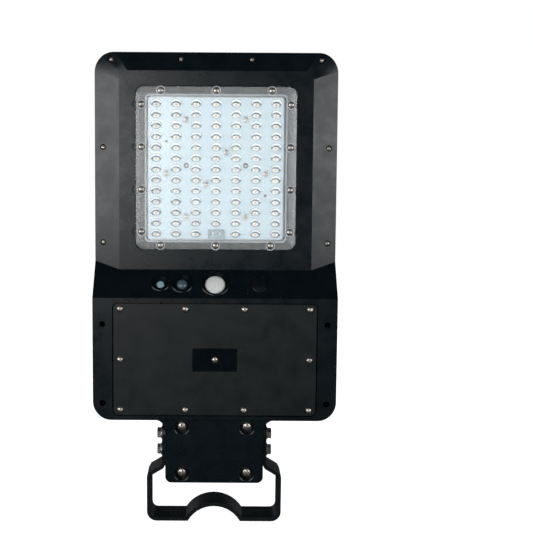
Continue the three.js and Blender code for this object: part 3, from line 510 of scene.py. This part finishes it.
def add_piece(name, mesh, material, matrix=None, body="head", replaces=()):
    """Puts a mesh in the scene on its body, in place of the CAD nodes that it replaces."""
    obj = bpy.data.objects.new(name, mesh)
    bpy.context.scene.collection.objects.link(obj)
    if matrix is not None:
        obj.matrix_world = matrix
    if not mesh.materials:
        mesh.materials.append(material)
    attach(obj, body)
    if replaces:
        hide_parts(*replaces)
    return obj


def weigh_normals(piece):
    """Shades flat faces flat right up to their rolled-over edges."""
    modifier = piece.modifiers.new("weighted_normals", "WEIGHTED_NORMAL")
    modifier.weight = 100
    modifier.keep_sharp = True


# ---------------------------------------------------------------- CAD nodes with softened edges
HARD_EDGE = math.radians(22)
FAINT_EDGE = math.radians(9)         # such an edge is rolled over only between two broad faces
BROAD_FACE = 0.0008                  # square metres
FLAT_ENOUGH = math.radians(0.8)
MERGE_DISTANCE = 0.002 * MM
SOFTENED = {                         # how far each part's edges are rolled over, and its material
    "front_shell": (0.5 * MM, "black_abs"),
    "rear_shell": (0.5 * MM, "black_abs"),
    "pole_bracket": (0.5 * MM, "painted_bracket"),
    "battery_cover": (0.3 * MM, "cover_abs"),
}


def is_rolled(edge):
    """True for a hard edge, and for a faint one between two broad faces."""
    if not edge.is_manifold:
        return False
    angle = edge.calc_face_angle()
    broad = min(face.calc_area() for face in edge.link_faces) > BROAD_FACE
    return angle > HARD_EDGE or (angle > FAINT_EDGE and broad)


def softened(name, width, slot):
    """A copy of a CAD node with its hard edges rolled over, in place of the node."""
    bm = bmesh.new()
    bm.from_mesh(NODES[name].data)
    bmesh.ops.remove_doubles(bm, verts=bm.verts, dist=MERGE_DISTANCE)
    bmesh.ops.dissolve_limit(bm, angle_limit=FLAT_ENOUGH, verts=bm.verts, edges=bm.edges)
    hard = [edge for edge in bm.edges if is_rolled(edge)]
    bmesh.ops.bevel(bm, geom=hard, offset=width, offset_type="OFFSET", segments=2, profile=0.5,
                    affect="EDGES", clamp_overlap=True, harden_normals=False)
    piece = add_piece(f"{name}_soft", to_mesh(bm, f"{name}_soft"), MATERIALS[slot],
                      body=NODES[name]["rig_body"], replaces=(name,))
    weigh_normals(piece)


# ---------------------------------------------------------------- screws
NECK_BOLT = {"radius": 4.75 * MM, "height": 3.4 * MM, "shank": 2.5 * MM, "length": 12 * MM, "sides": 36}
COVER_SCREW = {"radius": 2.8 * MM, "height": 1.8 * MM, "shank": 1.4 * MM, "length": 6 * MM}
SHELL_SCREW = {"radius": 2.8 * MM, "height": 2.0 * MM, "shank": 1.5 * MM, "length": 6 * MM}
LENS_SCREW = {"radius": 2.8 * MM, "height": 1.6 * MM, "shank": 1.4 * MM, "length": 6 * MM}
BOARD_SCREW = {"radius": 2.7 * MM, "height": 1.2 * MM, "shank": 1.2 * MM, "length": 3 * MM}
CROWN_RIM = 0.25                     # a head's height at its rim, as a share of its height in the middle
CROWN_RINGS = (1.0, 0.98, 0.93, 0.85, 0.74, 0.62)
RECESS_MOUTH = (0.56, 0.12)          # reach and half width of the cross, as shares of the head's radius
RECESS_FLOOR = (0.28, 0.08)
RECESS_LEVEL = 0.35
HEAD_FOOT = (0.96, 0.07)             # the head's foot: shares of its radius and of its height
SHANK_POINT = (0.7, 0.4)             # radius of the shank's end and length of its taper, as shares
WIDEST_SHARE = 0.97                  # points this near a screw's greatest radius belong to its head
# a flat black ring round each cover screw: painted shade for the dark edge of its seat
COVER_SHADOW_RING = [(2.85, 0.01), (2.85, 0.22), (3.35, 0.22), (3.5, 0.12), (3.5, 0.01)]
SCREW_SMOOTH = 50                    # degrees


def cross_outline(reach, half_width):
    """The twelve corners of a cross, anticlockwise."""
    arm = [(reach, -half_width), (reach, half_width), (half_width, half_width)]
    turns = [Matrix.Rotation(math.pi / 2 * quarter, 2) for quarter in range(4)]
    return [turn @ Vector(point) for turn in turns for point in arm]


def pan_head(name, radius, height, shank, length, sides=24):
    """A pan-head screw with a cross recess; z = 0 is where the head meets the face."""
    bm = bmesh.new()

    def crown(r):
        return height * (CROWN_RIM + (1 - CROWN_RIM) * math.sqrt(max(0.0, 1 - (r / radius) ** 2)))

    point, taper = (shank * share for share in SHANK_POINT)
    profile = [(0, -length), (point, -length), (shank, -length + taper), (shank, 0),
               (radius * HEAD_FOOT[0], 0), (radius, height * HEAD_FOOT[1])]
    profile += [(radius * share, crown(radius * share)) for share in CROWN_RINGS]
    last_ring = turned(bm, profile, sides)[-1]
    mouth, bottom = (cross_outline(radius * reach, radius * half_width)
                     for reach, half_width in (RECESS_MOUTH, RECESS_FLOOR))
    cross = [bm.verts.new((p.x, p.y, crown(p.length))) for p in mouth]
    floor = [bm.verts.new((p.x, p.y, height * RECESS_LEVEL)) for p in bottom]
    for i in range(len(cross)):
        j = (i + 1) % len(cross)
        bm.faces.new((cross[i], cross[j], floor[j], floor[i]))
    bm.faces.new(floor)
    border = [bm.edges.get((ring[i], ring[(i + 1) % len(ring)])) for ring in (last_ring, cross)
              for i in range(len(ring))]
    bmesh.ops.triangle_fill(bm, edges=border, use_beauty=True)
    return to_mesh(bm, name, SCREW_SMOOTH)


def head_place(name):
    """Frame on a CAD screw's axis at its head's underside, with z out of the head."""
    face = Face(name, -1)
    points = [face.local(v.co) for v in NODES[name].data.vertices]
    widest = max(math.hypot(p.x, p.y) for p in points)
    under = min(p.z for p in points if math.hypot(p.x, p.y) > widest * WIDEST_SHARE)
    return face.at(0, 0, under)


def shadow_ring_screws(prefix, profile):
    """A flat black ring round every screw of a kind: painted shade for the dark edge of its seat."""
    rings = bmesh.new()
    for name in sorted(n for n in NODES if n.startswith(prefix)):
        shadow_ring = bmesh.new()
        band(shadow_ring, profile, 0, 0, 0)
        shadow_ring.transform(head_place(name))
        mesh = bpy.data.meshes.new("shadow_ring")
        shadow_ring.to_mesh(mesh)
        shadow_ring.free()
        rings.from_mesh(mesh)
    add_piece(f"{prefix}washers", to_mesh(rings, f"{prefix}washers"), MATERIALS["black_rubber"])


def replace_screws(prefix, mesh):
    """The finer screw in place of every CAD screw of a kind, each turned its own way."""
    for name in sorted(n for n in NODES if n.startswith(prefix)):
        spin = Matrix.Rotation(math.radians(37 * sum(map(ord, name)) % 90), 4, "Z")
        add_piece(f"{name}_fine", mesh, MATERIALS["screw_steel"], head_place(name) @ spin, replaces=(name,))


# ---------------------------------------------------------------- lens window
LED_COLUMNS, LED_ROWS = 7, 13
LED_PITCH_X, LED_PITCH_Y = 19.7 * MM, 10.65 * MM
CHIP_DROP = 1.0 * MM                 # each chip and hollow sits this far down from the middle of its dome
DOME_X, DOME_Y, DOME_HEIGHT = 5.3 * MM, 4.05 * MM, 2.5 * MM
HOLLOW_X, HOLLOW_Y, HOLLOW_HEIGHT = 3.9 * MM, 2.6 * MM, 3.2 * MM
DOME_SIDES = 24
CLEAR, EDGE_SHADE, HAZE_AND_SHADE = 0, 1, 2       # the lens's three skins: clear; painted shade on the rings at every dome's and hollow's edge; and haze, the flange's own but painted shade on the walls inside the hollows
# rings of a hump, as (share of its width, share of its height, skin of the ring above)
DOME_RINGS = [(1.04, 0.0, EDGE_SHADE), (0.985, 0.18, EDGE_SHADE), (0.93, 0.42, CLEAR), (0.82, 0.64, CLEAR),
              (0.64, 0.83, CLEAR), (0.38, 0.955, CLEAR)]
HOLLOW_RINGS = [(1.0, 0.0, EDGE_SHADE), (0.92, 0.28, EDGE_SHADE), (0.78, 0.54, HAZE_AND_SHADE), (0.56, 0.79, CLEAR),
                (0.30, 0.94, CLEAR)]
LENS_TOP = 2.45 * MM
LENS_THICKNESS = 2.2 * MM
LENS_WELD = 0.01 * MM
LENS_SMOOTH = 30                     # degrees
FLANGE_RADIUS = 8 * MM
FLANGE_EDGE = 0.5 * MM
FLANGE_LONGER = 1.8 * MM             # how much longer the flange is than it is wide
LENS_SCREWS = ([(x * MM, y * MM) for y in (76, -76) for x in (-54.6, 0, 54.6)]
               + [(side * 73.5 * MM, y * MM) for side in (-1, 1) for y in (-62.5, -20.8, 20.8, 62.5)])


def led_places():
    """Middle of every LED on the board face; the lowest middle one gives way to the connector."""
    for row in range(LED_ROWS):
        for column in range(LED_COLUMNS):
            x = (column - (LED_COLUMNS - 1) / 2) * LED_PITCH_X
            y = ((LED_ROWS - 1) / 2 - row) * LED_PITCH_Y
            yield x, y, row == LED_ROWS - 1 and column == LED_COLUMNS // 2


def tile_edge(angle):
    """Point where a ray at this angle leaves a tile round one LED."""
    c, s = math.cos(angle), math.sin(angle)
    reach = min(LED_PITCH_X / 2 / max(abs(c), 1e-9), LED_PITCH_Y / 2 / max(abs(s), 1e-9))
    return c * reach, s * reach


def tile_angles():
    """Angles round one LED, its tile's corners among them."""
    corner = math.atan2(LED_PITCH_Y, LED_PITCH_X)
    corners = {round(a % (2 * math.pi), 9) for a in (corner, -corner, math.pi - corner, math.pi + corner)}
    return sorted({round(2 * math.pi * i / DOME_SIDES, 9) for i in range(DOME_SIDES)} | corners)


def hump(bm, x, y, z, half_x, half_y, height, shares, lift=0.0):
    """One tile with an oval hump in it, given as (share of its width, share of its height, skin)."""
    angles = tile_angles()
    low = [bm.verts.new((x + ex, y + ey, z)) for ex, ey in map(tile_edge, angles)]
    skin = CLEAR
    for share, rise, next_skin in shares:
        high = [bm.verts.new((x + half_x * share * math.cos(a), y + lift + half_y * share * math.sin(a),
                              z + height * rise)) for a in angles]
        for i in range(len(angles)):
            j = (i + 1) % len(angles)
            bm.faces.new((low[i], low[j], high[j], high[i])).material_index = skin
        low, skin = high, next_skin
    tip = bm.verts.new((x, y + lift, z + height))
    for i in range(len(angles)):
        bm.faces.new((low[i], low[(i + 1) % len(angles)], tip)).material_index = skin


def flat_tile(bm, x, y, z):
    bm.faces.new([bm.verts.new((x + ex, y + ey, z)) for ex, ey in map(tile_edge, tile_angles())])


def lens_sheet(bm, z, half_x, half_y, height, shares, lift=0.0):
    """One side of the lens over all the LEDs, a tile for each."""
    for x, y, blank in led_places():
        if blank:
            flat_tile(bm, x, y, z)
        else:
            hump(bm, x, y, z, half_x, half_y, height, shares, lift)


def make_lens():
    """The clear cover as one shell: domes outside, hollows inside and a rounded flange between them."""
    face = Face("lens_seal", -1)
    low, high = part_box("lens_cover")
    width = high[0] - low[0]
    height = width + FLANGE_LONGER
    back = LENS_TOP - LENS_THICKNESS
    bm = bmesh.new()
    lens_sheet(bm, LENS_TOP, DOME_X, DOME_Y, DOME_HEIGHT, DOME_RINGS)
    lens_sheet(bm, back, HOLLOW_X, HOLLOW_Y, HOLLOW_HEIGHT, HOLLOW_RINGS, -CHIP_DROP)
    bmesh.ops.remove_doubles(bm, verts=bm.verts, dist=LENS_WELD)
    borders = [e for e in bm.edges if e.is_boundary]
    rings = [(FLANGE_EDGE, 0.0), (0.0, FLANGE_EDGE * 0.5), (0.0, LENS_THICKNESS - FLANGE_EDGE),
             (FLANGE_EDGE * 0.3, LENS_THICKNESS - FLANGE_EDGE * 0.3), (FLANGE_EDGE, LENS_THICKNESS)]
    loops = loft(bm, [[(x, y, back + z) for x, y in
                       outline(width - 2 * inset, height - 2 * inset, FLANGE_RADIUS - inset)]
                      for inset, z in rings], cap=False)
    for rim, z in ((loops[0], back), (loops[-1], LENS_TOP)):
        around = [bm.edges.get((rim[i], rim[(i + 1) % len(rim)])) for i in range(len(rim))]
        around += [e for e in borders if abs(e.verts[0].co.z - z) < LENS_WELD]
        made = bmesh.ops.triangle_fill(bm, edges=around, use_beauty=True)
        for item in made["geom"]:
            if isinstance(item, bmesh.types.BMFace) and z == LENS_TOP:
                item.material_index = HAZE_AND_SHADE
    mesh = to_mesh(bm, "lens_window", LENS_SMOOTH)
    # clear, painted edge shade, and haze that is painted shade inside the hollows
    for skin in (MATERIALS["clear_lens"], LENS_EDGE_SHADE, LENS_HAZE_AND_SHADE):
        mesh.materials.append(skin)
    add_piece("lens_window", mesh, MATERIALS["clear_lens"], face.matrix, replaces=("lens_cover",))
    return face


# rings round the screws, as (radius, height) points in millimetres
# the first is a flat black ring under each lens screw, painted shade for the dark edge of its seat
LENS_SHADOW_RING = [(1.6, 0.02), (1.6, 0.3), (3.3, 0.3), (3.45, 0.15), (3.45, 0.02)]
FLANGE_BOSS = [(3.5, 0.02), (3.55, 0.4), (3.8, 0.5), (4.3, 0.5), (4.6, 0.3), (4.75, 0.02)]
WINDOW_BOSS = [(3.5, 0.02), (3.7, 0.25), (4.0, 0.3), (4.2, 0.02)]
SCREW_SEAT = 0.35 * MM


def make_lens_details(face):
    """The flange's screws on flat black rings of painted shade round their seats, and the low moulded rings
    in the lens.
    """
    screw = pan_head("lens_screw", **LENS_SCREW)
    shadow_rings, bosses = bmesh.new(), bmesh.new()
    for index, (x, y) in enumerate(LENS_SCREWS):
        turn = Matrix.Rotation(math.radians(index * 29 % 90), 4, "Z")
        place = face.at(x, y, LENS_TOP + SCREW_SEAT)
        add_piece(f"lens_screw_{index + 1}", screw, MATERIALS["screw_steel"], place @ turn)
        band(shadow_rings, LENS_SHADOW_RING, x, y, LENS_TOP)
        band(bosses, FLANGE_BOSS, x, y, LENS_TOP)
    # painted shade round the lens screws
    add_piece("lens_shadow_rings", to_mesh(shadow_rings, "lens_shadow_rings"), MATERIALS["black_rubber"], face.matrix)
    for x, y in BOARD_SCREWS:
        band(bosses, WINDOW_BOSS, x * MM, y * MM, LENS_TOP)
    add_piece("lens_bosses", to_mesh(bosses, "lens_bosses"), LENS_HAZE_AND_SHADE, face.matrix)


# ---------------------------------------------------------------- LED board
# places on the board, and (radius, height) profiles, in millimetres
BOARD_SCREWS = [(29.7, 48.2), (-29.7, 48.2), (10.1, 16.3), (49.3, -5), (-49.3, -5), (-9.4, -15.6),
                (29.5, -47.6), (-29.5, -47.6)]
BOARD_EYELETS = [(29.4, 3.1), (-29.4, 3.1)]
BOARD_PINS = [(-49, 26.7), (49, -26.5)]
EYELET = [(1.1, 0.02), (1.2, 0.4), (1.9, 0.55), (2.5, 0.4), (2.7, 0.02)]
PIN = [(0, 0.02), (1.4, 0.02), (1.35, 0.4), (0.9, 0.6), (0, 0.65)]
PHOSPHOR_DROP = [(0, 0.60), (1.6, 0.60), (1.5, 0.76), (0.8, 0.9), (0, 0.95)]
BOARD_SCREW_SEAT = 0.05 * MM
# width, height, corner radius, lower level, upper level, rolled edge
# the first is a white oval under each dome, painted light for the light its dome gathers onto the board
LED_LIGHT_POOL = (9.6 * MM, 7.4 * MM, 3.69 * MM, 0.01 * MM, 0.07 * MM, 0.02 * MM)
LED_PACKAGE = (3.5 * MM, 3.5 * MM, 0.3 * MM, 0.05 * MM, 0.62 * MM, 0.12 * MM)


def make_board_details():
    """The LEDs on white ovals of painted light, the board's screws, and its eyelets and pins."""
    face = Face("led_board", -1)
    light_pools, packages, phosphors = bmesh.new(), bmesh.new(), bmesh.new()
    for x, y, blank in led_places():
        if blank:
            continue
        plate(light_pools, *LED_LIGHT_POOL, x, y, 1, 5)
        plate(packages, *LED_PACKAGE, x, y - CHIP_DROP, 1, 2)
        turned(phosphors, in_metres(PHOSPHOR_DROP), 16, x, y - CHIP_DROP)
    # painted light under every dome
    add_piece("led_light_pools", to_mesh(light_pools, "led_light_pools"), PAINTED_LIGHT_WHITE, face.matrix)
    add_piece("led_packages", to_mesh(packages, "led_packages"), WHITE_CERAMIC, face.matrix)
    add_piece("led_phosphors", to_mesh(phosphors, "led_phosphors"), PHOSPHOR, face.matrix)
    screw = pan_head("board_screw", **BOARD_SCREW)
    for index, (x, y) in enumerate(BOARD_SCREWS):
        turn = Matrix.Rotation(math.radians(index * 41 % 90), 4, "Z")
        place = face.at(x * MM, y * MM, BOARD_SCREW_SEAT)
        add_piece(f"board_screw_{index + 1}", screw, DULL_STEEL, place @ turn)
    eyelets = bmesh.new()
    for x, y in BOARD_EYELETS:
        band(eyelets, EYELET, x * MM, y * MM, 0)
    for x, y in BOARD_PINS:
        turned(eyelets, in_metres(PIN), 16, x * MM, y * MM)
    add_piece("board_eyelets", to_mesh(eyelets, "board_eyelets"), DARK_STEEL, face.matrix)


CONNECTOR_TOP_GAP = 0.3 * MM
CONNECTOR_WALL = 1.3 * MM
CONNECTOR_ENDS = 2.4 * MM            # the back wall stops short by this much in all
CONTACT_PLACE = 3.3 * MM
# corner radius, lower level, upper level, rolled edge
CONNECTOR_BASE = (1.2 * MM, -1.85 * MM, -0.6 * MM, 0.2 * MM)
CONNECTOR_SIDE = (0.4 * MM, -0.62 * MM, 0, 0.2 * MM)
CONTACT = (2.0 * MM, 3.4 * MM, 0.5 * MM, -0.61 * MM, -0.15 * MM, 0.15 * MM)


def make_connector():
    """Two-pin socket of the LED board, in milky nylon, with its two bright contacts."""
    face = Face("led_connector", -1)
    low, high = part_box("led_connector")
    width, height = high[0] - low[0], high[2] - low[2] - CONNECTOR_TOP_GAP
    side_x, top_y = width / 2 - CONNECTOR_WALL / 2, height / 2 - CONNECTOR_WALL / 2
    shell, pins = bmesh.new(), bmesh.new()
    plate(shell, width, height, *CONNECTOR_BASE)
    for side in (-1, 1):
        plate(shell, CONNECTOR_WALL, height, *CONNECTOR_SIDE, side * side_x, 0, 1, 2)
        plate(pins, *CONTACT, side * CONTACT_PLACE, 0, 1, 2)
    plate(shell, width - CONNECTOR_ENDS, CONNECTOR_WALL, *CONNECTOR_SIDE, 0, top_y, 1, 2)
    add_piece("led_connector_shell", to_mesh(shell, "led_connector_shell"), MILKY_NYLON, face.matrix,
              replaces=("led_connector",))
    add_piece("led_connector_pins", to_mesh(pins, "led_connector_pins"), MATERIALS["screw_steel"],
              face.matrix)


# ---------------------------------------------------------------- solar panel
CELL_COLUMNS, CELL_ROWS = 11, 3
CELL_CHAMFER = 7 * MM
PANEL_BORDER = 6.0 * MM
CELL_GAP = 0.55 * MM
ROW_GAP = 1.6 * MM
CELL_LEVELS = (-0.34 * MM, -0.14 * MM)
SHEET_PLATE = (2.5 * MM, -0.8 * MM, -0.35 * MM, 0.05 * MM)         # corner radius, levels and rolled edge
PANE_PLATE = (2.5 * MM, -2.6 * MM, 0, 0.5 * MM)
PANE_CLEARANCE = 0.1 * MM
BUSBAR_PLATE = (1.5 * MM, 0.2 * MM, -0.13 * MM, -0.04 * MM, 0.02 * MM)
BUSBAR_PLACES = (-0.25, 0.25)        # shares of a row's height, from its middle
BUSBAR_SHORTER = 3 * MM
RIBBON_WIDTH = 2.2 * MM
RIBBON_PLATE = (0.2 * MM, -0.33 * MM, -0.26 * MM, 0.02 * MM)
RIBBON_INSET = 2.6 * MM
RIBBON_SHARE = 0.9


def strip_points(width, height, side):
    """A cell strip's outline; the first and last strip of a row have their outer corners cut."""
    w, h, c = width / 2, height / 2, CELL_CHAMFER
    if side == 0:
        return [(w, h), (-w, h), (-w, -h), (w, -h)]
    points = [(w, h - c), (w - c, h), (-w, h), (-w, -h), (w - c, -h), (w, -h + c)]
    return points if side > 0 else [(-x, y) for x, y in reversed(points)]


def sloped_size(name):
    """Width and length of a flat node that leans in the lamp's side plane."""
    low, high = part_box(name)
    return high[0] - low[0], math.hypot(high[2] - low[2], high[1] - low[1])


def make_panel():
    """White sheet, three rows of cell strips, and the silver busbars and edge ribbons."""
    face = Face("solar_cell_sheet", 1)
    width, height = sloped_size("solar_cell_sheet")
    sheet = bmesh.new()
    plate(sheet, width, height, *SHEET_PLATE)
    add_piece("panel_backsheet", to_mesh(sheet, "panel_backsheet"), WHITE_BACKSHEET, face.matrix,
              replaces=("solar_cell_sheet",))
    strip_width = (width - 2 * PANEL_BORDER - (CELL_COLUMNS - 1) * CELL_GAP) / CELL_COLUMNS
    row_height = (height - 2 * PANEL_BORDER - (CELL_ROWS - 1) * ROW_GAP) / CELL_ROWS
    ribbons = bmesh.new()
    for row in range(CELL_ROWS):
        y = (row - (CELL_ROWS - 1) / 2) * (row_height + ROW_GAP)
        cells = bmesh.new()
        for column in range(CELL_COLUMNS):
            x = (column - (CELL_COLUMNS - 1) / 2) * (strip_width + CELL_GAP)
            side = {0: -1, CELL_COLUMNS - 1: 1}.get(column, 0)
            points = strip_points(strip_width, row_height, side)
            loft(cells, [[(x + px, y + py, z) for px, py in points] for z in CELL_LEVELS])
        add_piece(f"cell_row_{row + 1}", to_mesh(cells, "cells"), MATERIALS["solar_cells"], face.matrix)
        for share in BUSBAR_PLACES:
            plate(ribbons, width - 2 * PANEL_BORDER - BUSBAR_SHORTER, *BUSBAR_PLATE,
                  0, y + share * row_height, 1, 1)
    for side in (-1, 1):
        plate(ribbons, RIBBON_WIDTH, height * RIBBON_SHARE, *RIBBON_PLATE,
              side * (width / 2 - RIBBON_INSET), 0, 1, 1)
    add_piece("panel_ribbons", to_mesh(ribbons, "panel_ribbons"), SILVER_RIBBON, face.matrix)


def make_panel_glass():
    face = Face("solar_panel_glass", 1)
    width, height = sloped_size("solar_panel_glass")
    bm = bmesh.new()
    plate(bm, width, height - PANE_CLEARANCE, *PANE_PLATE)
    add_piece("panel_pane", to_mesh(bm, "panel_pane"), MATERIALS["panel_glass"], face.matrix,
              replaces=("solar_panel_glass",))


# ---------------------------------------------------------------- sensors and button
def finer_plug(name, profile, slot, body="head"):
    """A round insert on the sensor slope, turned finer than its CAD node."""
    face = Face(name, -1)
    bm = bmesh.new()
    turned(bm, in_metres(profile), PLUG_SIDES)
    mesh = to_mesh(bm, name, PLUG_SMOOTH)
    add_piece(f"{name}_fine", mesh, MATERIALS[slot], face.matrix, body, (name,))


def cap_points(radius, rise, foot):
    """A quarter ellipse from a dome's foot to just short of its tip."""
    angles = [math.radians(degrees) for degrees in range(0, 90, 9)]
    return [(radius * math.cos(a), rise * math.sin(a) + foot) for a in angles]


# (radius, height) profiles in millimetres, with 0 at the top of the CAD node
PIR_DOME = [(0, -6.9), (11.5, -6.9), (11.5, -5.7), (9.9, -5.7), *cap_points(9.9, 2.6, -3.8), (0, -1.2)]
RECEIVER_DOME = [(0, -6.9), (7.4, -6.9), (7.4, -5.7), (5.3, -5.7), *cap_points(5.3, 3.6, -3.6), (0, 0)]
WINDOW_PLUG = [(0, -4.2), (6, -4.2), (6, -3.0), (3.8, -3.0), (3.8, -0.95), (3.6, -0.55), (3.1, -0.25),
               (2.0, -0.07), (0, 0)]
BUTTON = [(0, -6.25), (3, -6.25), (3, -4.25), (9.3, -4.25), (9.3, -3.15), (8.0, -3.15), (8.0, -0.95),
          (7.85, -0.6), (7.4, -0.35), (6.6, -0.22), (6.2, -0.34), (5.7, -0.34), (5.3, -0.16), (3, -0.03),
          (0, 0)]
COLLARS = {                          # inner radius and foot level of the glossy ring round each sensor
    "light_sensor_window": (7.55, 0.55),
    "receiver_dome": (9.15, -2.15),
    "pir_lens": (12.3, -2.15),
}
COLLAR_REACH, COLLAR_RISE = 2.0, 1.7
COLLAR_STEPS = 6
COLLAR_SIDES = 48
PLUG_SIDES = 40
PLUG_SMOOTH = 50                     # degrees
COLLAR_SMOOTH = 40


def make_collar(name, radius, foot):
    """A ring that is steep inside and rolls over outwards."""
    crest = [(radius + COLLAR_REACH * math.sin(a), COLLAR_RISE * math.cos(a))
             for a in (math.pi / 2 * step / COLLAR_STEPS for step in range(COLLAR_STEPS + 1))]
    ring = bmesh.new()
    band(ring, [(radius, 0.0), *crest], 0, 0, foot * MM, COLLAR_SIDES)
    add_piece(f"{name}_collar", to_mesh(ring, "collar", COLLAR_SMOOTH), COLLAR_GLOSS, Face(name, -1).matrix)


def make_sensors():
    finer_plug("pir_lens", PIR_DOME, "milky_lens")
    finer_plug("light_sensor_window", WINDOW_PLUG, "blue_window")
    finer_plug("receiver_dome", RECEIVER_DOME, "smoky_dome")
    finer_plug("power_button", BUTTON, "black_rubber", "button")
    for name, (radius, foot) in COLLARS.items():
        make_collar(name, radius, foot)


# ---------------------------------------------------------------- CAD nodes that stay
def paint_frame():
    """Every CAD node gets its slot's material, whether it shows or is replaced."""
    for entry in frame["record"]["subparts"]:
        mesh = NODES[entry["node"]].data
        mesh.materials.clear()
        mesh.materials.append(MATERIALS[entry["material_slot"]])


bpy.context.scene.view_settings.view_transform = "Standard"
make_camera()
make_stage()
paint_frame()
for part, (roll, look) in SOFTENED.items():
    softened(part, roll, look)
make_lens_details(make_lens())
make_board_details()
make_connector()
make_panel()
make_panel_glass()
make_sensors()
replace_screws("neck_bolt_", pan_head("neck_bolt", **NECK_BOLT))
replace_screws("cover_screw_", pan_head("cover_screw", **COVER_SCREW))
# painted shade round the cover screws' seats
shadow_ring_screws("cover_screw_", COVER_SHADOW_RING)
replace_screws("shell_screw_", pan_head("shell_screw", **SHELL_SCREW))
replace_screws("cover_centre_screw", pan_head("cover_centre_screw", **COVER_SCREW))
